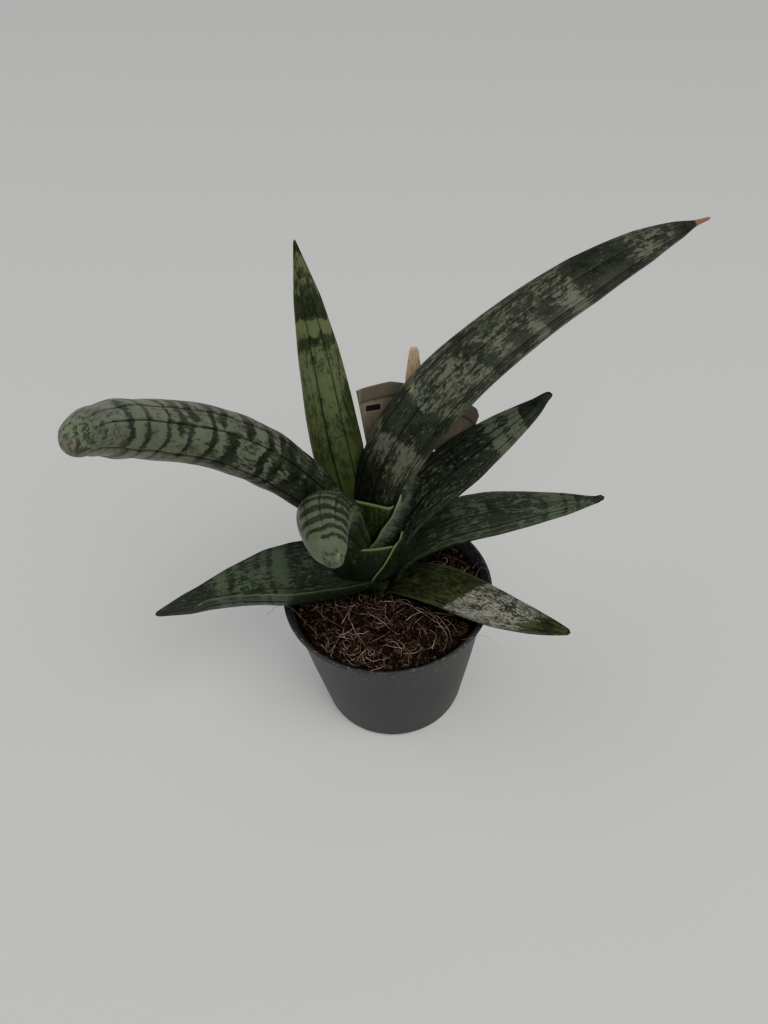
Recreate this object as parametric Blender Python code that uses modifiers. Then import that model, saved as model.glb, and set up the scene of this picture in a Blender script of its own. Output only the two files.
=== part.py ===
"""A young cylindrical snake plant in its small nursery pot.

Everything is in metres, with +Z up. The origin is the middle of the pot's underside, and -Y is the
side that the plant is usually looked at from. The lengths below are written in millimetres, which suits
a plant this small, and MM turns them into metres.
"""
import math

import bmesh
import bpy
import numpy as np

MM = 0.001

# Thin plastic nursery pot, 6 cm across its rim
POT_HEIGHT = 45.6
POT_RIM_RADIUS = 30.0
POT_TOP_RADIUS = 28.0
POT_BASE_RADIUS = 20.0
POT_WALL = 0.9
POT_FLOOR = 1.2
RIM_THICKNESS = 1.1
RIM_ROUNDING = 0.4
LIP_FLARE = 0.3
FLOOR_FILLET = 1.0
BASE_ROUNDING = 1.6
BASE_ROUNDING_MIDDLE = (0.5, 0.4)
DRAIN_HOLES = 5
DRAIN_HOLE_RADIUS = 2.4
DRAIN_CIRCLE_RADIUS = 12.5
DRAIN_DRILL_DEPTH = 4.8

# Ball of coir and bark that fills the pot nearly to its rim
SOIL_TOP = 42.0
SOIL_CROWNING = 0.8
SOIL_EDGE_BEVEL = 1.0
SOIL_FOOT_BEVEL = 1.5

# Short stem that the leaves grow from, nearly all of it in the soil
CROWN_CENTRE = (-2.2, 9.2, 36.5)
CROWN_RADII = (8.8, 8.0, 7.6)

# Space kept between pieces that touch on the real plant
GAP = 0.35

# Wooden stake with a bent card on it, pushed into the soil behind the crown
STAKE_FOOT = (6.4, 16.5, 14.0)
STAKE_TOP = (12.3, 36.0, 102.6)
STAKE_WIDTH = 5.0
STAKE_THICKNESS = 1.6
STAKE_POINT_LENGTH = 7.0
STAKE_TIP_LENGTH = 9.0
STAKE_TIP_ROUNDING = 1.8
CARD_CHORD = 33.0
CARD_BOW = 3.5
CARD_HEIGHT = 20.0
CARD_THICKNESS = 0.5
CARD_TOP_BELOW_STAKE = 11.5
CARD_TILT = math.radians(11)
CARD_TAPER = 0.25
CARD_COLUMNS = 14
CARD_ROWS = 4

# Mesh fineness
TURN_STEPS = 64
LEAF_RINGS = 26
LEAF_SIDES = 18
CROWN_RINGS = 18
CROWN_SIDES = 28
DRILL_SIDES = 20
PATH_FINENESS = 20
MERGE_DISTANCE = 0.00001

# Each leaf is a smooth run of sections. "path" lists points on the line through its two margins, from
# the crown to the tip, and "facing" is the compass direction that the leaf leans to, in degrees from +X,
# given at places from 0 (crown) to 1 (tip). "roll" turns the sections about the path. "width" is measured
# from margin to margin, "under" is how far the leaf's back bulges below that line, and "over" how far its
# face stands above it, which is below zero where the face is a channel.
LEAVES = {
    "leaf_long_right": {
        "path": [(-2.6, 10.4, 43.5), (-2.5, 10.9, 58), (-1.3, 11.8, 69), (4.5, 14.5, 84.5),
                 (17.7, 21.3, 99.1), (40, 32.6, 111.1), (62.7, 44.2, 117.8), (80, 53, 120.3),
                 (93.2, 59.8, 120.2)],
        "facing": [(0, 27), (1, 27)],
        "roll": [(0, 20), (1, 20)],
        "width": [(0, 6), (0.12, 8.5), (0.22, 12.5), (0.35, 17.8), (0.45, 18), (0.6, 16.4), (0.75, 14.6),
                  (0.87, 10.5), (0.95, 5), (1, 0.4)],
        "under": [(0, 2), (0.2, 4.2), (0.4, 5.5), (0.6, 5.2), (0.8, 4.2), (0.92, 2.4), (1, 0.2)],
        "over": [(0, 1.5), (0.2, 2.5), (0.6, 2.5), (0.8, 2), (0.92, 1.4), (1, 0.2)],
    },
    "leaf_upright": {
        "path": [(-5.2, 12.5, 43), (-6.8, 15, 58), (-9, 17.5, 70), (-11.3, 20.8, 88), (-12.7, 23.6, 106),
                 (-14.5, 27.3, 126), (-16.1, 29.6, 142.5)],
        "facing": [(0, 124), (0.5, 110), (1, 95)],
        "roll": [(0, 0), (1, 0)],
        "width": [(0, 6), (0.15, 10), (0.28, 13.6), (0.42, 14.6), (0.55, 13.4), (0.7, 11), (0.85, 7),
                  (1, 0.3)],
        "under": [(0, 1.5), (0.2, 3), (0.5, 4), (0.8, 2.6), (1, 0.2)],
        "over": [(0, 1), (0.2, 2), (0.5, 2.5), (0.8, 1.6), (1, 0.2)],
    },
    "leaf_front": {
        "path": [(-3.6, 7.4, 43), (-6.2, 6.5, 57.4), (-9.5, 0.5, 72), (-12.4, -8, 85.9), (-13.6, -18, 96.1),
                 (-13.4, -28, 102.6), (-12.3, -37, 106.4), (-10.2, -46, 109.7)],
        "facing": [(0, 258), (1, 266)],
        "roll": [(0, 0), (1, 0)],
        "width": [(0, 6), (0.15, 9.5), (0.35, 13.2), (0.5, 14.2), (0.65, 13.9), (0.8, 12), (0.92, 8),
                  (1, 0.5)],
        "under": [(0, 2), (0.2, 4.2), (0.5, 6), (0.75, 5), (0.92, 3.4), (1, 0.3)],
        "over": [(0, 1.5), (0.2, 4), (0.5, 5.6), (0.75, 5), (0.92, 3), (1, 0.3)],
    },
    "leaf_middle_right": {
        "path": [(1.2, 11.2, 43), (3.2, 11.9, 56), (6.5, 12.8, 62), (13.9, 14.8, 70.1), (22.6, 17.1, 76.7),
                 (34, 20.2, 84), (43.5, 22.8, 89.8), (47.6, 23.9, 92.7)],
        "facing": [(0, 15), (1, 15)],
        "roll": [(0, 10), (1, 10)],
        "width": [(0, 6), (0.15, 9), (0.3, 13), (0.5, 16), (0.62, 15.4), (0.78, 11), (0.92, 5.6), (1, 0.4)],
        "under": [(0, 1.6), (0.3, 4.2), (0.6, 4.5), (0.85, 2.6), (1, 0.2)],
        "over": [(0, 1.6), (0.3, 3), (0.6, 3.2), (0.85, 2), (1, 0.2)],
    },
    "leaf_long_left": {
        "path": [(-8, 10.8, 42), (-9.6, 10.6, 56), (-15.5, 8.6, 74.5), (-27.2, 2, 97.6), (-38.5, -9, 116.5),
                 (-47.1, -25, 134.4), (-50.6, -42, 150), (-50, -58, 162.6), (-49.6, -65, 167.3)],
        "facing": [(0, 195), (0.4, 215), (0.7, 240), (1, 262)],
        "roll": [(0, 0), (1, 0)],
        "width": [(0, 6), (0.1, 9), (0.2, 13.6), (0.35, 16.9), (0.5, 16.4), (0.65, 14.6), (0.8, 11.8),
                  (0.92, 8.4), (0.975, 4.5), (1, 0.4)],
        "under": [(0, 2.5), (0.2, 5.5), (0.4, 8), (0.6, 7.6), (0.8, 6.2), (0.92, 4.4), (1, 0.2)],
        "over": [(0, 2), (0.2, 5), (0.4, 7), (0.6, 6.6), (0.8, 5.6), (0.92, 4.2), (1, 0.2)],
    },
    "leaf_low_right": {
        "path": [(3.2, 9.2, 41.8), (5.6, 9.7, 50), (10.4, 10.1, 54.8), (19.1, 10.9, 59.5), (29.1, 11.8, 60.9),
                 (40, 12.7, 61), (52, 13.8, 60.6), (62.5, 14.7, 60.3)],
        "facing": [(0, 5), (1, 5)],
        "roll": [(0, 0), (1, 0)],
        "width": [(0, 6), (0.15, 10.5), (0.3, 14.5), (0.42, 16.5), (0.55, 15.8), (0.7, 12), (0.85, 7.3),
                  (1, 0.8)],
        "under": [(0, 1.5), (0.3, 4.2), (0.6, 4.4), (0.85, 2.8), (1, 0.4)],
        "over": [(0, 1.5), (0.3, 2.2), (0.6, 2.4), (0.85, 1.7), (1, 0.4)],
    },
    "leaf_low_left": {
        "path": [(-0.8, 4.8, 43.5), (-5, 4.3, 48.2), (-13, 3.2, 50.6), (-25.8, 1.5, 52.4), (-34.2, 0.3, 53.3),
                 (-46, -1.4, 52), (-57, -2.9, 49), (-66.3, -4.2, 46.1)],
        "facing": [(0, 188), (1, 188)],
        "roll": [(0, 0), (1, 0)],
        "width": [(0, 6), (0.1, 9.5), (0.25, 15), (0.4, 17.6), (0.52, 17.2), (0.68, 12.5), (0.85, 6.5),
                  (1, 0.6)],
        "under": [(0, 2), (0.15, 4.5), (0.35, 6.4), (0.5, 6.6), (0.75, 5.6), (0.9, 3), (1, 0.3)],
        "over": [(0, 1.6), (0.15, 0.5), (0.35, -2), (0.6, -2), (0.85, -0.5), (1, 0.3)],
    },
    "leaf_drooping": {
        "path": [(1, 5.6, 42), (4, 3.6, 45.4), (8, 1.1, 47.6), (14.8, -3.4, 49.8), (22.7, -9.2, 50.2),
                 (31, -14.8, 49.9), (40, -20.2, 50.2), (47.9, -24.8, 51)],
        "facing": [(0, -33), (1, -33)],
        "roll": [(0, 0), (1, 0)],
        "width": [(0, 6), (0.15, 10.5), (0.3, 13.5), (0.5, 13.6), (0.65, 12), (0.8, 8.5), (0.92, 4.6),
                  (1, 0.8)],
        "under": [(0, 1.3), (0.3, 3), (0.6, 3.4), (0.85, 2.2), (1, 0.4)],
        "over": [(0, 1.3), (0.3, 1.4), (0.6, 2), (0.85, 1.6), (1, 0.4)],
    },
}

# The inner leaves that each leaf's base clasps, so that it is hollowed out round them
CLASPED = {
    "leaf_upright": ["leaf_long_right"],
    "leaf_front": ["leaf_long_right", "leaf_upright"],
    "leaf_middle_right": ["leaf_long_right", "leaf_upright", "leaf_front"],
    "leaf_long_left": ["leaf_long_right", "leaf_upright", "leaf_front"],
    "leaf_low_right": ["leaf_long_right", "leaf_front", "leaf_middle_right"],
    "leaf_low_left": ["leaf_long_right", "leaf_front", "leaf_long_left", "leaf_low_right"],
    "leaf_drooping": ["leaf_front", "leaf_middle_right", "leaf_low_right", "leaf_low_left"],
}


def start_empty():
    for thing in list(bpy.data.objects):
        bpy.data.objects.remove(thing, do_unlink=True)
    plant = bpy.data.collections.new("cylindrical_snake_plant")
    cutters = bpy.data.collections.new("cutters")
    bpy.context.scene.collection.children.link(plant)
    bpy.context.scene.collection.children.link(cutters)
    return plant, cutters


def make_material(name, colour, roughness):
    material = bpy.data.materials.new(name)
    material.use_nodes = True
    shader = material.node_tree.nodes["Principled BSDF"]
    shader.inputs["Base Color"].default_value = (*colour, 1)
    shader.inputs["Roughness"].default_value = roughness
    return material


def move_to(thing, collection):
    for old in list(thing.users_collection):
        old.objects.unlink(thing)
    collection.objects.link(thing)


def hide_cutter(thing, collection):
    move_to(thing, collection)
    thing.hide_render = True
    thing.display_type = "WIRE"


def cut(thing, cutter):
    """Take the cutter's shape out of a piece."""
    boolean = thing.modifiers.new("cut_by_" + cutter.name, "BOOLEAN")
    boolean.operation = "DIFFERENCE"
    boolean.solver = "EXACT"
    boolean.object = cutter


def turned(name, profile):
    """A round piece from its half profile, given as (radius, height) from the axis out, up and down again."""
    mesh = bpy.data.meshes.new(name)
    corners = [(radius * MM, 0, height * MM) for radius, height in profile]
    mesh.from_pydata(corners, [(i, i + 1) for i in range(len(corners) - 1)], [])
    thing = bpy.data.objects.new(name, mesh)
    screw = thing.modifiers.new("turn", "SCREW")
    screw.steps = TURN_STEPS
    screw.render_steps = TURN_STEPS
    screw.use_merge_vertices = True
    screw.merge_threshold = MERGE_DISTANCE
    screw.use_smooth_shade = True
    return thing


def smooth_path(points, count):
    """Evenly spaced points in metres on one smooth curve through the given ones."""
    knots = np.array(points, dtype=float) * MM
    steps = np.sqrt(np.linalg.norm(np.diff(knots, axis=0), axis=1))
    times = np.concatenate([[0], np.cumsum(steps)])
    slopes = np.diff(knots, axis=0) / steps[:, None]
    tangents = [slopes[0]]
    for i in range(1, len(knots) - 1):
        share = steps[i] / (steps[i - 1] + steps[i])
        tangents.append(slopes[i - 1] * share + slopes[i] * (1 - share))
    tangents.append(slopes[-1])
    fine = []
    for time in np.linspace(0, times[-1], PATH_FINENESS * count):
        i = min(int(np.searchsorted(times, time, side="right")) - 1, len(steps) - 1)
        u = (time - times[i]) / steps[i]
        fine.append((2 * u**3 - 3 * u**2 + 1) * knots[i] + (u**3 - 2 * u**2 + u) * steps[i] * tangents[i]
                    + (3 * u**2 - 2 * u**3) * knots[i + 1] + (u**3 - u**2) * steps[i] * tangents[i + 1])
    fine = np.array(fine)
    walked = np.concatenate([[0], np.cumsum(np.linalg.norm(np.diff(fine, axis=0), axis=1))])
    marks = np.linspace(0, walked[-1], count)
    return np.stack([np.interp(marks, walked, fine[:, axis]) for axis in range(3)], axis=1)


def along(keys, places):
    """A size that changes smoothly along a leaf, from its values at a few places."""
    values = np.interp(places, [place for place, _ in keys], [value for _, value in keys])
    for _ in range(2):
        values[1:-1] = (values[:-2] + 2 * values[1:-1] + values[2:]) / 4
    return values


def unit(vectors):
    return vectors / np.linalg.norm(vectors, axis=1)[:, None]


def leaf_object(name, leaf, grow=0.0):
    """A ball drawn out along the leaf's path: its poles are the base and the tip, its rings the sections."""
    bpy.ops.mesh.primitive_uv_sphere_add(segments=LEAF_SIDES, ring_count=LEAF_RINGS, radius=1)
    thing = bpy.context.object
    thing.name = name
    thing.data.name = name
    centres = smooth_path(leaf["path"], LEAF_RINGS + 1)
    forward = unit(np.gradient(centres, axis=0))
    centres[0] -= forward[0] * grow * MM
    centres[-1] += forward[-1] * grow * MM
    places = np.linspace(0, 1, LEAF_RINGS + 1)
    facing = np.radians(along(leaf["facing"], places))
    level = np.stack([-np.sin(facing), np.cos(facing), np.zeros_like(facing)], axis=1)
    level = unit(level - forward * np.sum(level * forward, axis=1)[:, None])
    lift = np.cross(forward, level)
    roll = np.radians(along(leaf["roll"], places))[:, None]
    across = level * np.cos(roll) + lift * np.sin(roll)
    upward = lift * np.cos(roll) - level * np.sin(roll)
    half = (along(leaf["width"], places) / 2 + grow) * MM
    under = (along(leaf["under"], places) + grow) * MM
    over = (along(leaf["over"], places) + grow) * MM
    for vertex in thing.data.vertices:
        x, y, z = vertex.co
        ring = round((1 - math.acos(max(-1, min(1, z))) / math.pi) * LEAF_RINGS)
        if ring in (0, LEAF_RINGS):
            vertex.co = centres[ring]
            continue
        angle = math.atan2(y, x)
        side = half[ring] * math.cos(angle)
        rise = math.sin(angle) * (over[ring] if angle > 0 else under[ring])
        vertex.co = centres[ring] + across[ring] * side + upward[ring] * rise
    thing.data.shade_smooth()
    return thing


def build_pot(plant, cutters, material):
    rim_start = POT_HEIGHT - RIM_THICKNESS
    slope = (POT_TOP_RADIUS - POT_BASE_RADIUS) / rim_start
    inner_floor_radius = POT_BASE_RADIUS + slope * POT_FLOOR - POT_WALL
    bend, bend_height = BASE_ROUNDING_MIDDLE
    pot = turned("pot", [
        (0, POT_FLOOR),
        (inner_floor_radius - FLOOR_FILLET, POT_FLOOR),
        (inner_floor_radius, POT_FLOOR + FLOOR_FILLET),
        (POT_TOP_RADIUS - POT_WALL, rim_start),
        (POT_TOP_RADIUS - POT_WALL + LIP_FLARE, POT_HEIGHT),
        (POT_RIM_RADIUS - RIM_ROUNDING, POT_HEIGHT),
        (POT_RIM_RADIUS, POT_HEIGHT - RIM_ROUNDING),
        (POT_RIM_RADIUS, rim_start),
        (POT_TOP_RADIUS, rim_start),
        (POT_BASE_RADIUS + slope * BASE_ROUNDING, BASE_ROUNDING),
        (POT_BASE_RADIUS - bend, bend_height),
        (POT_BASE_RADIUS - BASE_ROUNDING, 0),
        (0, 0),
    ])
    plant.objects.link(pot)
    pot.data.materials.append(material)
    for hole in range(DRAIN_HOLES):
        angle = math.tau * hole / DRAIN_HOLES
        bpy.ops.mesh.primitive_cylinder_add(
            vertices=DRILL_SIDES, radius=DRAIN_HOLE_RADIUS * MM, depth=DRAIN_DRILL_DEPTH * MM,
            location=(DRAIN_CIRCLE_RADIUS * math.cos(angle) * MM,
                      DRAIN_CIRCLE_RADIUS * math.sin(angle) * MM, 0))
        drill = bpy.context.object
        drill.name = f"drain_drill_{hole}"
        hide_cutter(drill, cutters)
        cut(pot, drill)


def build_soil(plant, material):
    slope = (POT_TOP_RADIUS - POT_BASE_RADIUS) / (POT_HEIGHT - RIM_THICKNESS)
    wall = POT_BASE_RADIUS - POT_WALL - GAP
    bottom = POT_FLOOR + GAP
    soil = turned("soil", [
        (0, SOIL_TOP + SOIL_CROWNING),
        (0.45 * wall, SOIL_TOP + 0.75 * SOIL_CROWNING),
        (0.95 * wall, SOIL_TOP + 0.3 * SOIL_CROWNING),
        (wall + slope * SOIL_TOP - SOIL_EDGE_BEVEL, SOIL_TOP),
        (wall + slope * (SOIL_TOP - SOIL_EDGE_BEVEL), SOIL_TOP - SOIL_EDGE_BEVEL),
        (wall + slope * (bottom + SOIL_FOOT_BEVEL), bottom + SOIL_FOOT_BEVEL),
        (wall + slope * bottom - SOIL_FOOT_BEVEL, bottom),
        (0, bottom),
    ])
    plant.objects.link(soil)
    soil.data.materials.append(material)
    return soil


def crown_object(name, grow=0.0):
    bpy.ops.mesh.primitive_uv_sphere_add(segments=CROWN_SIDES, ring_count=CROWN_RINGS, radius=1)
    crown = bpy.context.object
    crown.name = name
    for vertex in crown.data.vertices:
        vertex.co = [(middle + (radius + grow) * place) * MM
                     for middle, radius, place in zip(CROWN_CENTRE, CROWN_RADII, vertex.co)]
    crown.data.shade_smooth()
    return crown


def stake_frame():
    """Where the stake stands, its length, and its axes: along it, across its flat face, and to the front."""
    foot = np.array(STAKE_FOOT)
    rise = np.array(STAKE_TOP) - foot
    length = float(np.linalg.norm(rise))
    up = rise / length
    across = np.cross((0, 1, 0), up)
    across = across / np.linalg.norm(across)
    return foot, length, up, across, np.cross(across, up)


def stake_object(name, grow=0.0):
    """A flat stick with a narrowed foot and a rounded top, leaning back over the rim."""
    foot, length, up, across, front = stake_frame()
    half = STAKE_WIDTH / 2 + grow
    shoulder = length - STAKE_TIP_LENGTH
    right_side = [(0.25 * half, -grow), (half, STAKE_POINT_LENGTH), (half, shoulder),
                  (0.75 * half, length - STAKE_TIP_ROUNDING), (0.35 * half, length)]
    outline = right_side + [(-x, y) for x, y in reversed(right_side)]
    curve = bpy.data.curves.new(name, "CURVE")
    curve.dimensions = "2D"
    curve.fill_mode = "BOTH"
    curve.extrude = (STAKE_THICKNESS / 2 + grow) * MM
    spline = curve.splines.new("POLY")
    spline.points.add(len(outline) - 1)
    for point, (x, y) in zip(spline.points, outline):
        point.co = (x * MM, y * MM, 0, 1)
    spline.use_cyclic_u = True
    flat = bpy.data.objects.new(name + "_outline", curve)
    bpy.context.scene.collection.objects.link(flat)
    mesh = bpy.data.meshes.new_from_object(flat.evaluated_get(bpy.context.evaluated_depsgraph_get()))
    bpy.data.objects.remove(flat, do_unlink=True)
    shape = bmesh.new()
    shape.from_mesh(mesh)
    bmesh.ops.remove_doubles(shape, verts=shape.verts, dist=MERGE_DISTANCE)
    for vertex in shape.verts:
        x, y, z = vertex.co
        vertex.co = foot * MM + across * x + up * y + front * z
    shape.to_mesh(mesh)
    shape.free()
    return bpy.data.objects.new(name, mesh)


def build_card(plant, material):
    """A thin card in front of the stake, bent hollow side forward and hanging a little askew."""
    foot, length, up, across, front = stake_frame()
    radius = (CARD_CHORD**2 / 4 + CARD_BOW**2) / (2 * CARD_BOW)
    reach = math.asin(CARD_CHORD / 2 / radius)
    bpy.ops.mesh.primitive_grid_add(x_subdivisions=CARD_COLUMNS, y_subdivisions=CARD_ROWS, size=1)
    card = bpy.context.object
    card.name = "label_card"
    card.data.name = "label_card"
    top = foot + up * (length - CARD_TOP_BELOW_STAKE)
    right = across * math.cos(CARD_TILT) - up * math.sin(CARD_TILT)
    high = up * math.cos(CARD_TILT) + across * math.sin(CARD_TILT)
    clear = STAKE_THICKNESS / 2 + GAP + CARD_THICKNESS / 2
    for vertex in card.data.vertices:
        angle = 2 * reach * vertex.co.x
        down = (0.5 - vertex.co.y) * CARD_HEIGHT
        taper = 1 - CARD_TAPER * down / CARD_HEIGHT
        place = (top + right * (radius * math.sin(angle) * taper) - high * down
                 + front * (clear + radius * (1 - math.cos(angle))))
        vertex.co = place * MM
    solid = card.modifiers.new("thickness", "SOLIDIFY")
    solid.thickness = CARD_THICKNESS * MM
    solid.offset = 0
    move_to(card, plant)
    card.data.materials.append(material)


def build():
    plant, cutters = start_empty()
    pot_plastic = make_material("pot_plastic", (0.085, 0.088, 0.09), 0.55)
    coir = make_material("coir", (0.09, 0.045, 0.028), 0.95)
    stem_green = make_material("crown_flesh", (0.3, 0.34, 0.1), 0.5)
    wood = make_material("stake_wood", (0.55, 0.42, 0.27), 0.7)
    board = make_material("card_board", (0.2, 0.17, 0.13), 0.75)
    leaf_skin = make_material("leaf_skin", (0.11, 0.17, 0.09), 0.5)

    build_pot(plant, cutters, pot_plastic)
    soil = build_soil(plant, coir)

    crown = crown_object("crown")
    move_to(crown, plant)
    crown.data.materials.append(stem_green)
    crown_space = crown_object("crown_space", GAP)
    hide_cutter(crown_space, cutters)

    spaces = {"crown": crown_space}
    for name, leaf in LEAVES.items():
        piece = leaf_object(name, leaf)
        move_to(piece, plant)
        piece.data.materials.append(leaf_skin)
        cut(piece, crown_space)
        for inner in CLASPED.get(name, []):
            cut(piece, spaces[inner])
        spaces[name] = leaf_object(name + "_space", leaf, GAP)
        hide_cutter(spaces[name], cutters)

    stake = stake_object("label_stake")
    plant.objects.link(stake)
    stake.data.materials.append(wood)
    stake_space = stake_object("stake_space", GAP)
    bpy.context.scene.collection.objects.link(stake_space)
    hide_cutter(stake_space, cutters)
    build_card(plant, board)

    for space in [stake_space, *spaces.values()]:
        cut(soil, space)


build()
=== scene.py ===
# %% [markdown]
# A young cylindrical snake plant in its nursery pot. Each piece is shaped and coloured here, one at a
# time. The plain model underneath already has the right sizes and places, so every finer piece is
# built where its plain piece stands. Sizes are in millimetres in the tables, and MM makes them metres.

# %% Load the plain model
import math

import bmesh
import bpy
import numpy as np
from mathutils import Matrix, Vector, noise


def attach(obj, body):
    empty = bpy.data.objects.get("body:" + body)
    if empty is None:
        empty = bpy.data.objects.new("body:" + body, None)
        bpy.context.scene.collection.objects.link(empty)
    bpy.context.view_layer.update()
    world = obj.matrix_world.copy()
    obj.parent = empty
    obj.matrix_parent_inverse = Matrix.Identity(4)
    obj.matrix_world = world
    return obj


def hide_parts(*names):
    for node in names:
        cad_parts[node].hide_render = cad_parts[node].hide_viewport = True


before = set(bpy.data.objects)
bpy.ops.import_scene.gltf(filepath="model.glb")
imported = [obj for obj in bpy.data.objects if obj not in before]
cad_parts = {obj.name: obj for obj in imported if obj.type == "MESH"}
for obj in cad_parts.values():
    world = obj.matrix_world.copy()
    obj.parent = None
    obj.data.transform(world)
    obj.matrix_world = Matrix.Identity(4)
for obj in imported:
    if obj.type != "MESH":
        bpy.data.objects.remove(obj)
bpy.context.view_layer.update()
MM = 0.001
print("plain pieces:", len(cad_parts))

# %% [markdown]
# The camera looks down at the plant from the front. Its lens and its place were worked out once, so
# here they are only written down: where it is, which way its right and its up point, and the lens.

# %% Camera
CAMERA_PLACE = (0.000593, -0.19257, 0.27741)
CAMERA_RIGHT = (0.99728, -0.05320, -0.05109)
CAMERA_UP = (0.07376, 0.71931, 0.69076)
LENS = 36.88


def place_camera():
    data = bpy.data.cameras.new("plant_camera")
    data.lens = LENS
    data.sensor_width = 36
    data.clip_start = 0.01
    camera = bpy.data.objects.new("plant_camera", data)
    bpy.context.scene.collection.objects.link(camera)
    right = Vector(CAMERA_RIGHT)
    up = Vector(CAMERA_UP)
    back = right.cross(up)
    turn = Matrix((right, up, back)).transposed().to_4x4()
    camera.matrix_world = Matrix.Translation(CAMERA_PLACE) @ turn
    bpy.context.scene.camera = camera


place_camera()
print("lens", LENS, "mm")

# %% [markdown]
# A plain pale floor and large soft lights show the leaves' colours without hard shadows. The biggest
# light hangs over the front right, a weaker one fills in from the left, and the pale world does the rest.

# %% Floor and lights
FLOOR_COLOUR = (0.63, 0.63, 0.61)
FLOOR_SIZE = 6.0


def lay_floor():
    shape = bmesh.new()
    bmesh.ops.create_grid(shape, x_segments=1, y_segments=1, size=FLOOR_SIZE / 2)
    mesh = bpy.data.meshes.new("pale_floor")
    shape.to_mesh(mesh)
    shape.free()
    floor = bpy.data.objects.new("pale_floor", mesh)
    bpy.context.scene.collection.objects.link(floor)
    material = bpy.data.materials.new("pale_table")
    material.use_nodes = True
    shader = material.node_tree.nodes["Principled BSDF"]
    shader.inputs["Base Color"].default_value = (*FLOOR_COLOUR, 1)
    shader.inputs["Roughness"].default_value = 0.7
    mesh.materials.append(material)


def hang_light(name, place, size, watts, colour):
    data = bpy.data.lights.new(name, "AREA")
    data.shape = "DISK"
    data.size = size
    data.energy = watts
    data.color = colour
    light = bpy.data.objects.new(name, data)
    light.location = place
    light.rotation_euler = (Vector((0, 0, 0.06)) - Vector(place)).to_track_quat("-Z", "Y").to_euler()
    bpy.context.scene.collection.objects.link(light)


lay_floor()
hang_light("softbox_front_right", (0.38, -0.45, 0.95), 0.7, 9.5, (1.0, 0.99, 0.97))
hang_light("fill_left", (-0.8, 0.1, 0.7), 0.9, 4.5, (0.97, 0.99, 1.0))
world = bpy.data.worlds.new("pale_room")
world.use_nodes = True
world.node_tree.nodes["Background"].inputs["Color"].default_value = (0.94, 0.95, 0.95, 1)
world.node_tree.nodes["Background"].inputs["Strength"].default_value = 0.52
bpy.context.scene.world = world
print("floor and two soft lights")

# %% [markdown]
# Several pieces need the same few tools: a smooth line through points, a value that changes smoothly
# along a line, and a mesh made into an object of the scene that rides with the plant.

# %% Shared tools
PATH_FINENESS = 12


def smooth_path(points, count):
    """Evenly spaced points in metres on one smooth curve through the given ones."""
    knots = np.array(points, dtype=float) * MM
    steps = np.sqrt(np.linalg.norm(np.diff(knots, axis=0), axis=1))
    times = np.concatenate([[0], np.cumsum(steps)])
    slopes = np.diff(knots, axis=0) / steps[:, None]
    tangents = [slopes[0]]
    for i in range(1, len(knots) - 1):
        share = steps[i] / (steps[i - 1] + steps[i])
        tangents.append(slopes[i - 1] * share + slopes[i] * (1 - share))
    tangents.append(slopes[-1])
    fine = []
    for time in np.linspace(0, times[-1], PATH_FINENESS * count):
        i = min(int(np.searchsorted(times, time, side="right")) - 1, len(steps) - 1)
        u = (time - times[i]) / steps[i]
        fine.append((2 * u**3 - 3 * u**2 + 1) * knots[i] + (u**3 - 2 * u**2 + u) * steps[i] * tangents[i]
                    + (3 * u**2 - 2 * u**3) * knots[i + 1] + (u**3 - u**2) * steps[i] * tangents[i + 1])
    fine = np.array(fine)
    walked = np.concatenate([[0], np.cumsum(np.linalg.norm(np.diff(fine, axis=0), axis=1))])
    marks = np.linspace(0, walked[-1], count)
    return np.stack([np.interp(marks, walked, fine[:, axis]) for axis in range(3)], axis=1)


def along(keys, places, rounds=6):
    """A value, or three of them, that change smoothly along a line, from their values at a few places."""
    spots = [key[0] for key in keys]
    columns = np.array([key[1] for key in keys], dtype=float).reshape(len(keys), -1).T
    values = np.stack([np.interp(places, spots, column) for column in columns], axis=1)
    for _ in range(rounds):
        values[1:-1] = (values[:-2] + 2 * values[1:-1] + values[2:]) / 4
    return values[:, 0] if len(columns) == 1 else values


def unit(vectors):
    return vectors / np.linalg.norm(vectors, axis=1)[:, None]


def add_piece(name, mesh, material, node):
    """Shows a mesh, in place of a plain piece if a node is named."""
    piece = bpy.data.objects.new(name, mesh)
    bpy.context.scene.collection.objects.link(piece)
    mesh.materials.append(material)
    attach(piece, "root")
    if node:
        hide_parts(node)
    return piece


def to_mesh(name, shape, smooth=True):
    """Turns a worked-on shape into a mesh with its faces outward."""
    bmesh.ops.recalc_face_normals(shape, faces=shape.faces)
    for face in shape.faces:
        face.smooth = smooth
    mesh = bpy.data.meshes.new(name)
    shape.to_mesh(mesh)
    shape.free()
    return mesh


print("tools ready")

# %% [markdown]
# Every finish here is a small net of nodes on one shader. The same few steps come back each time: add
# a node, do a sum, make noise at some size, switch softly at a limit, and mix two colours. Paint keeps
# those steps short, so that each finish below reads as a recipe.

# %% Paint


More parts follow.
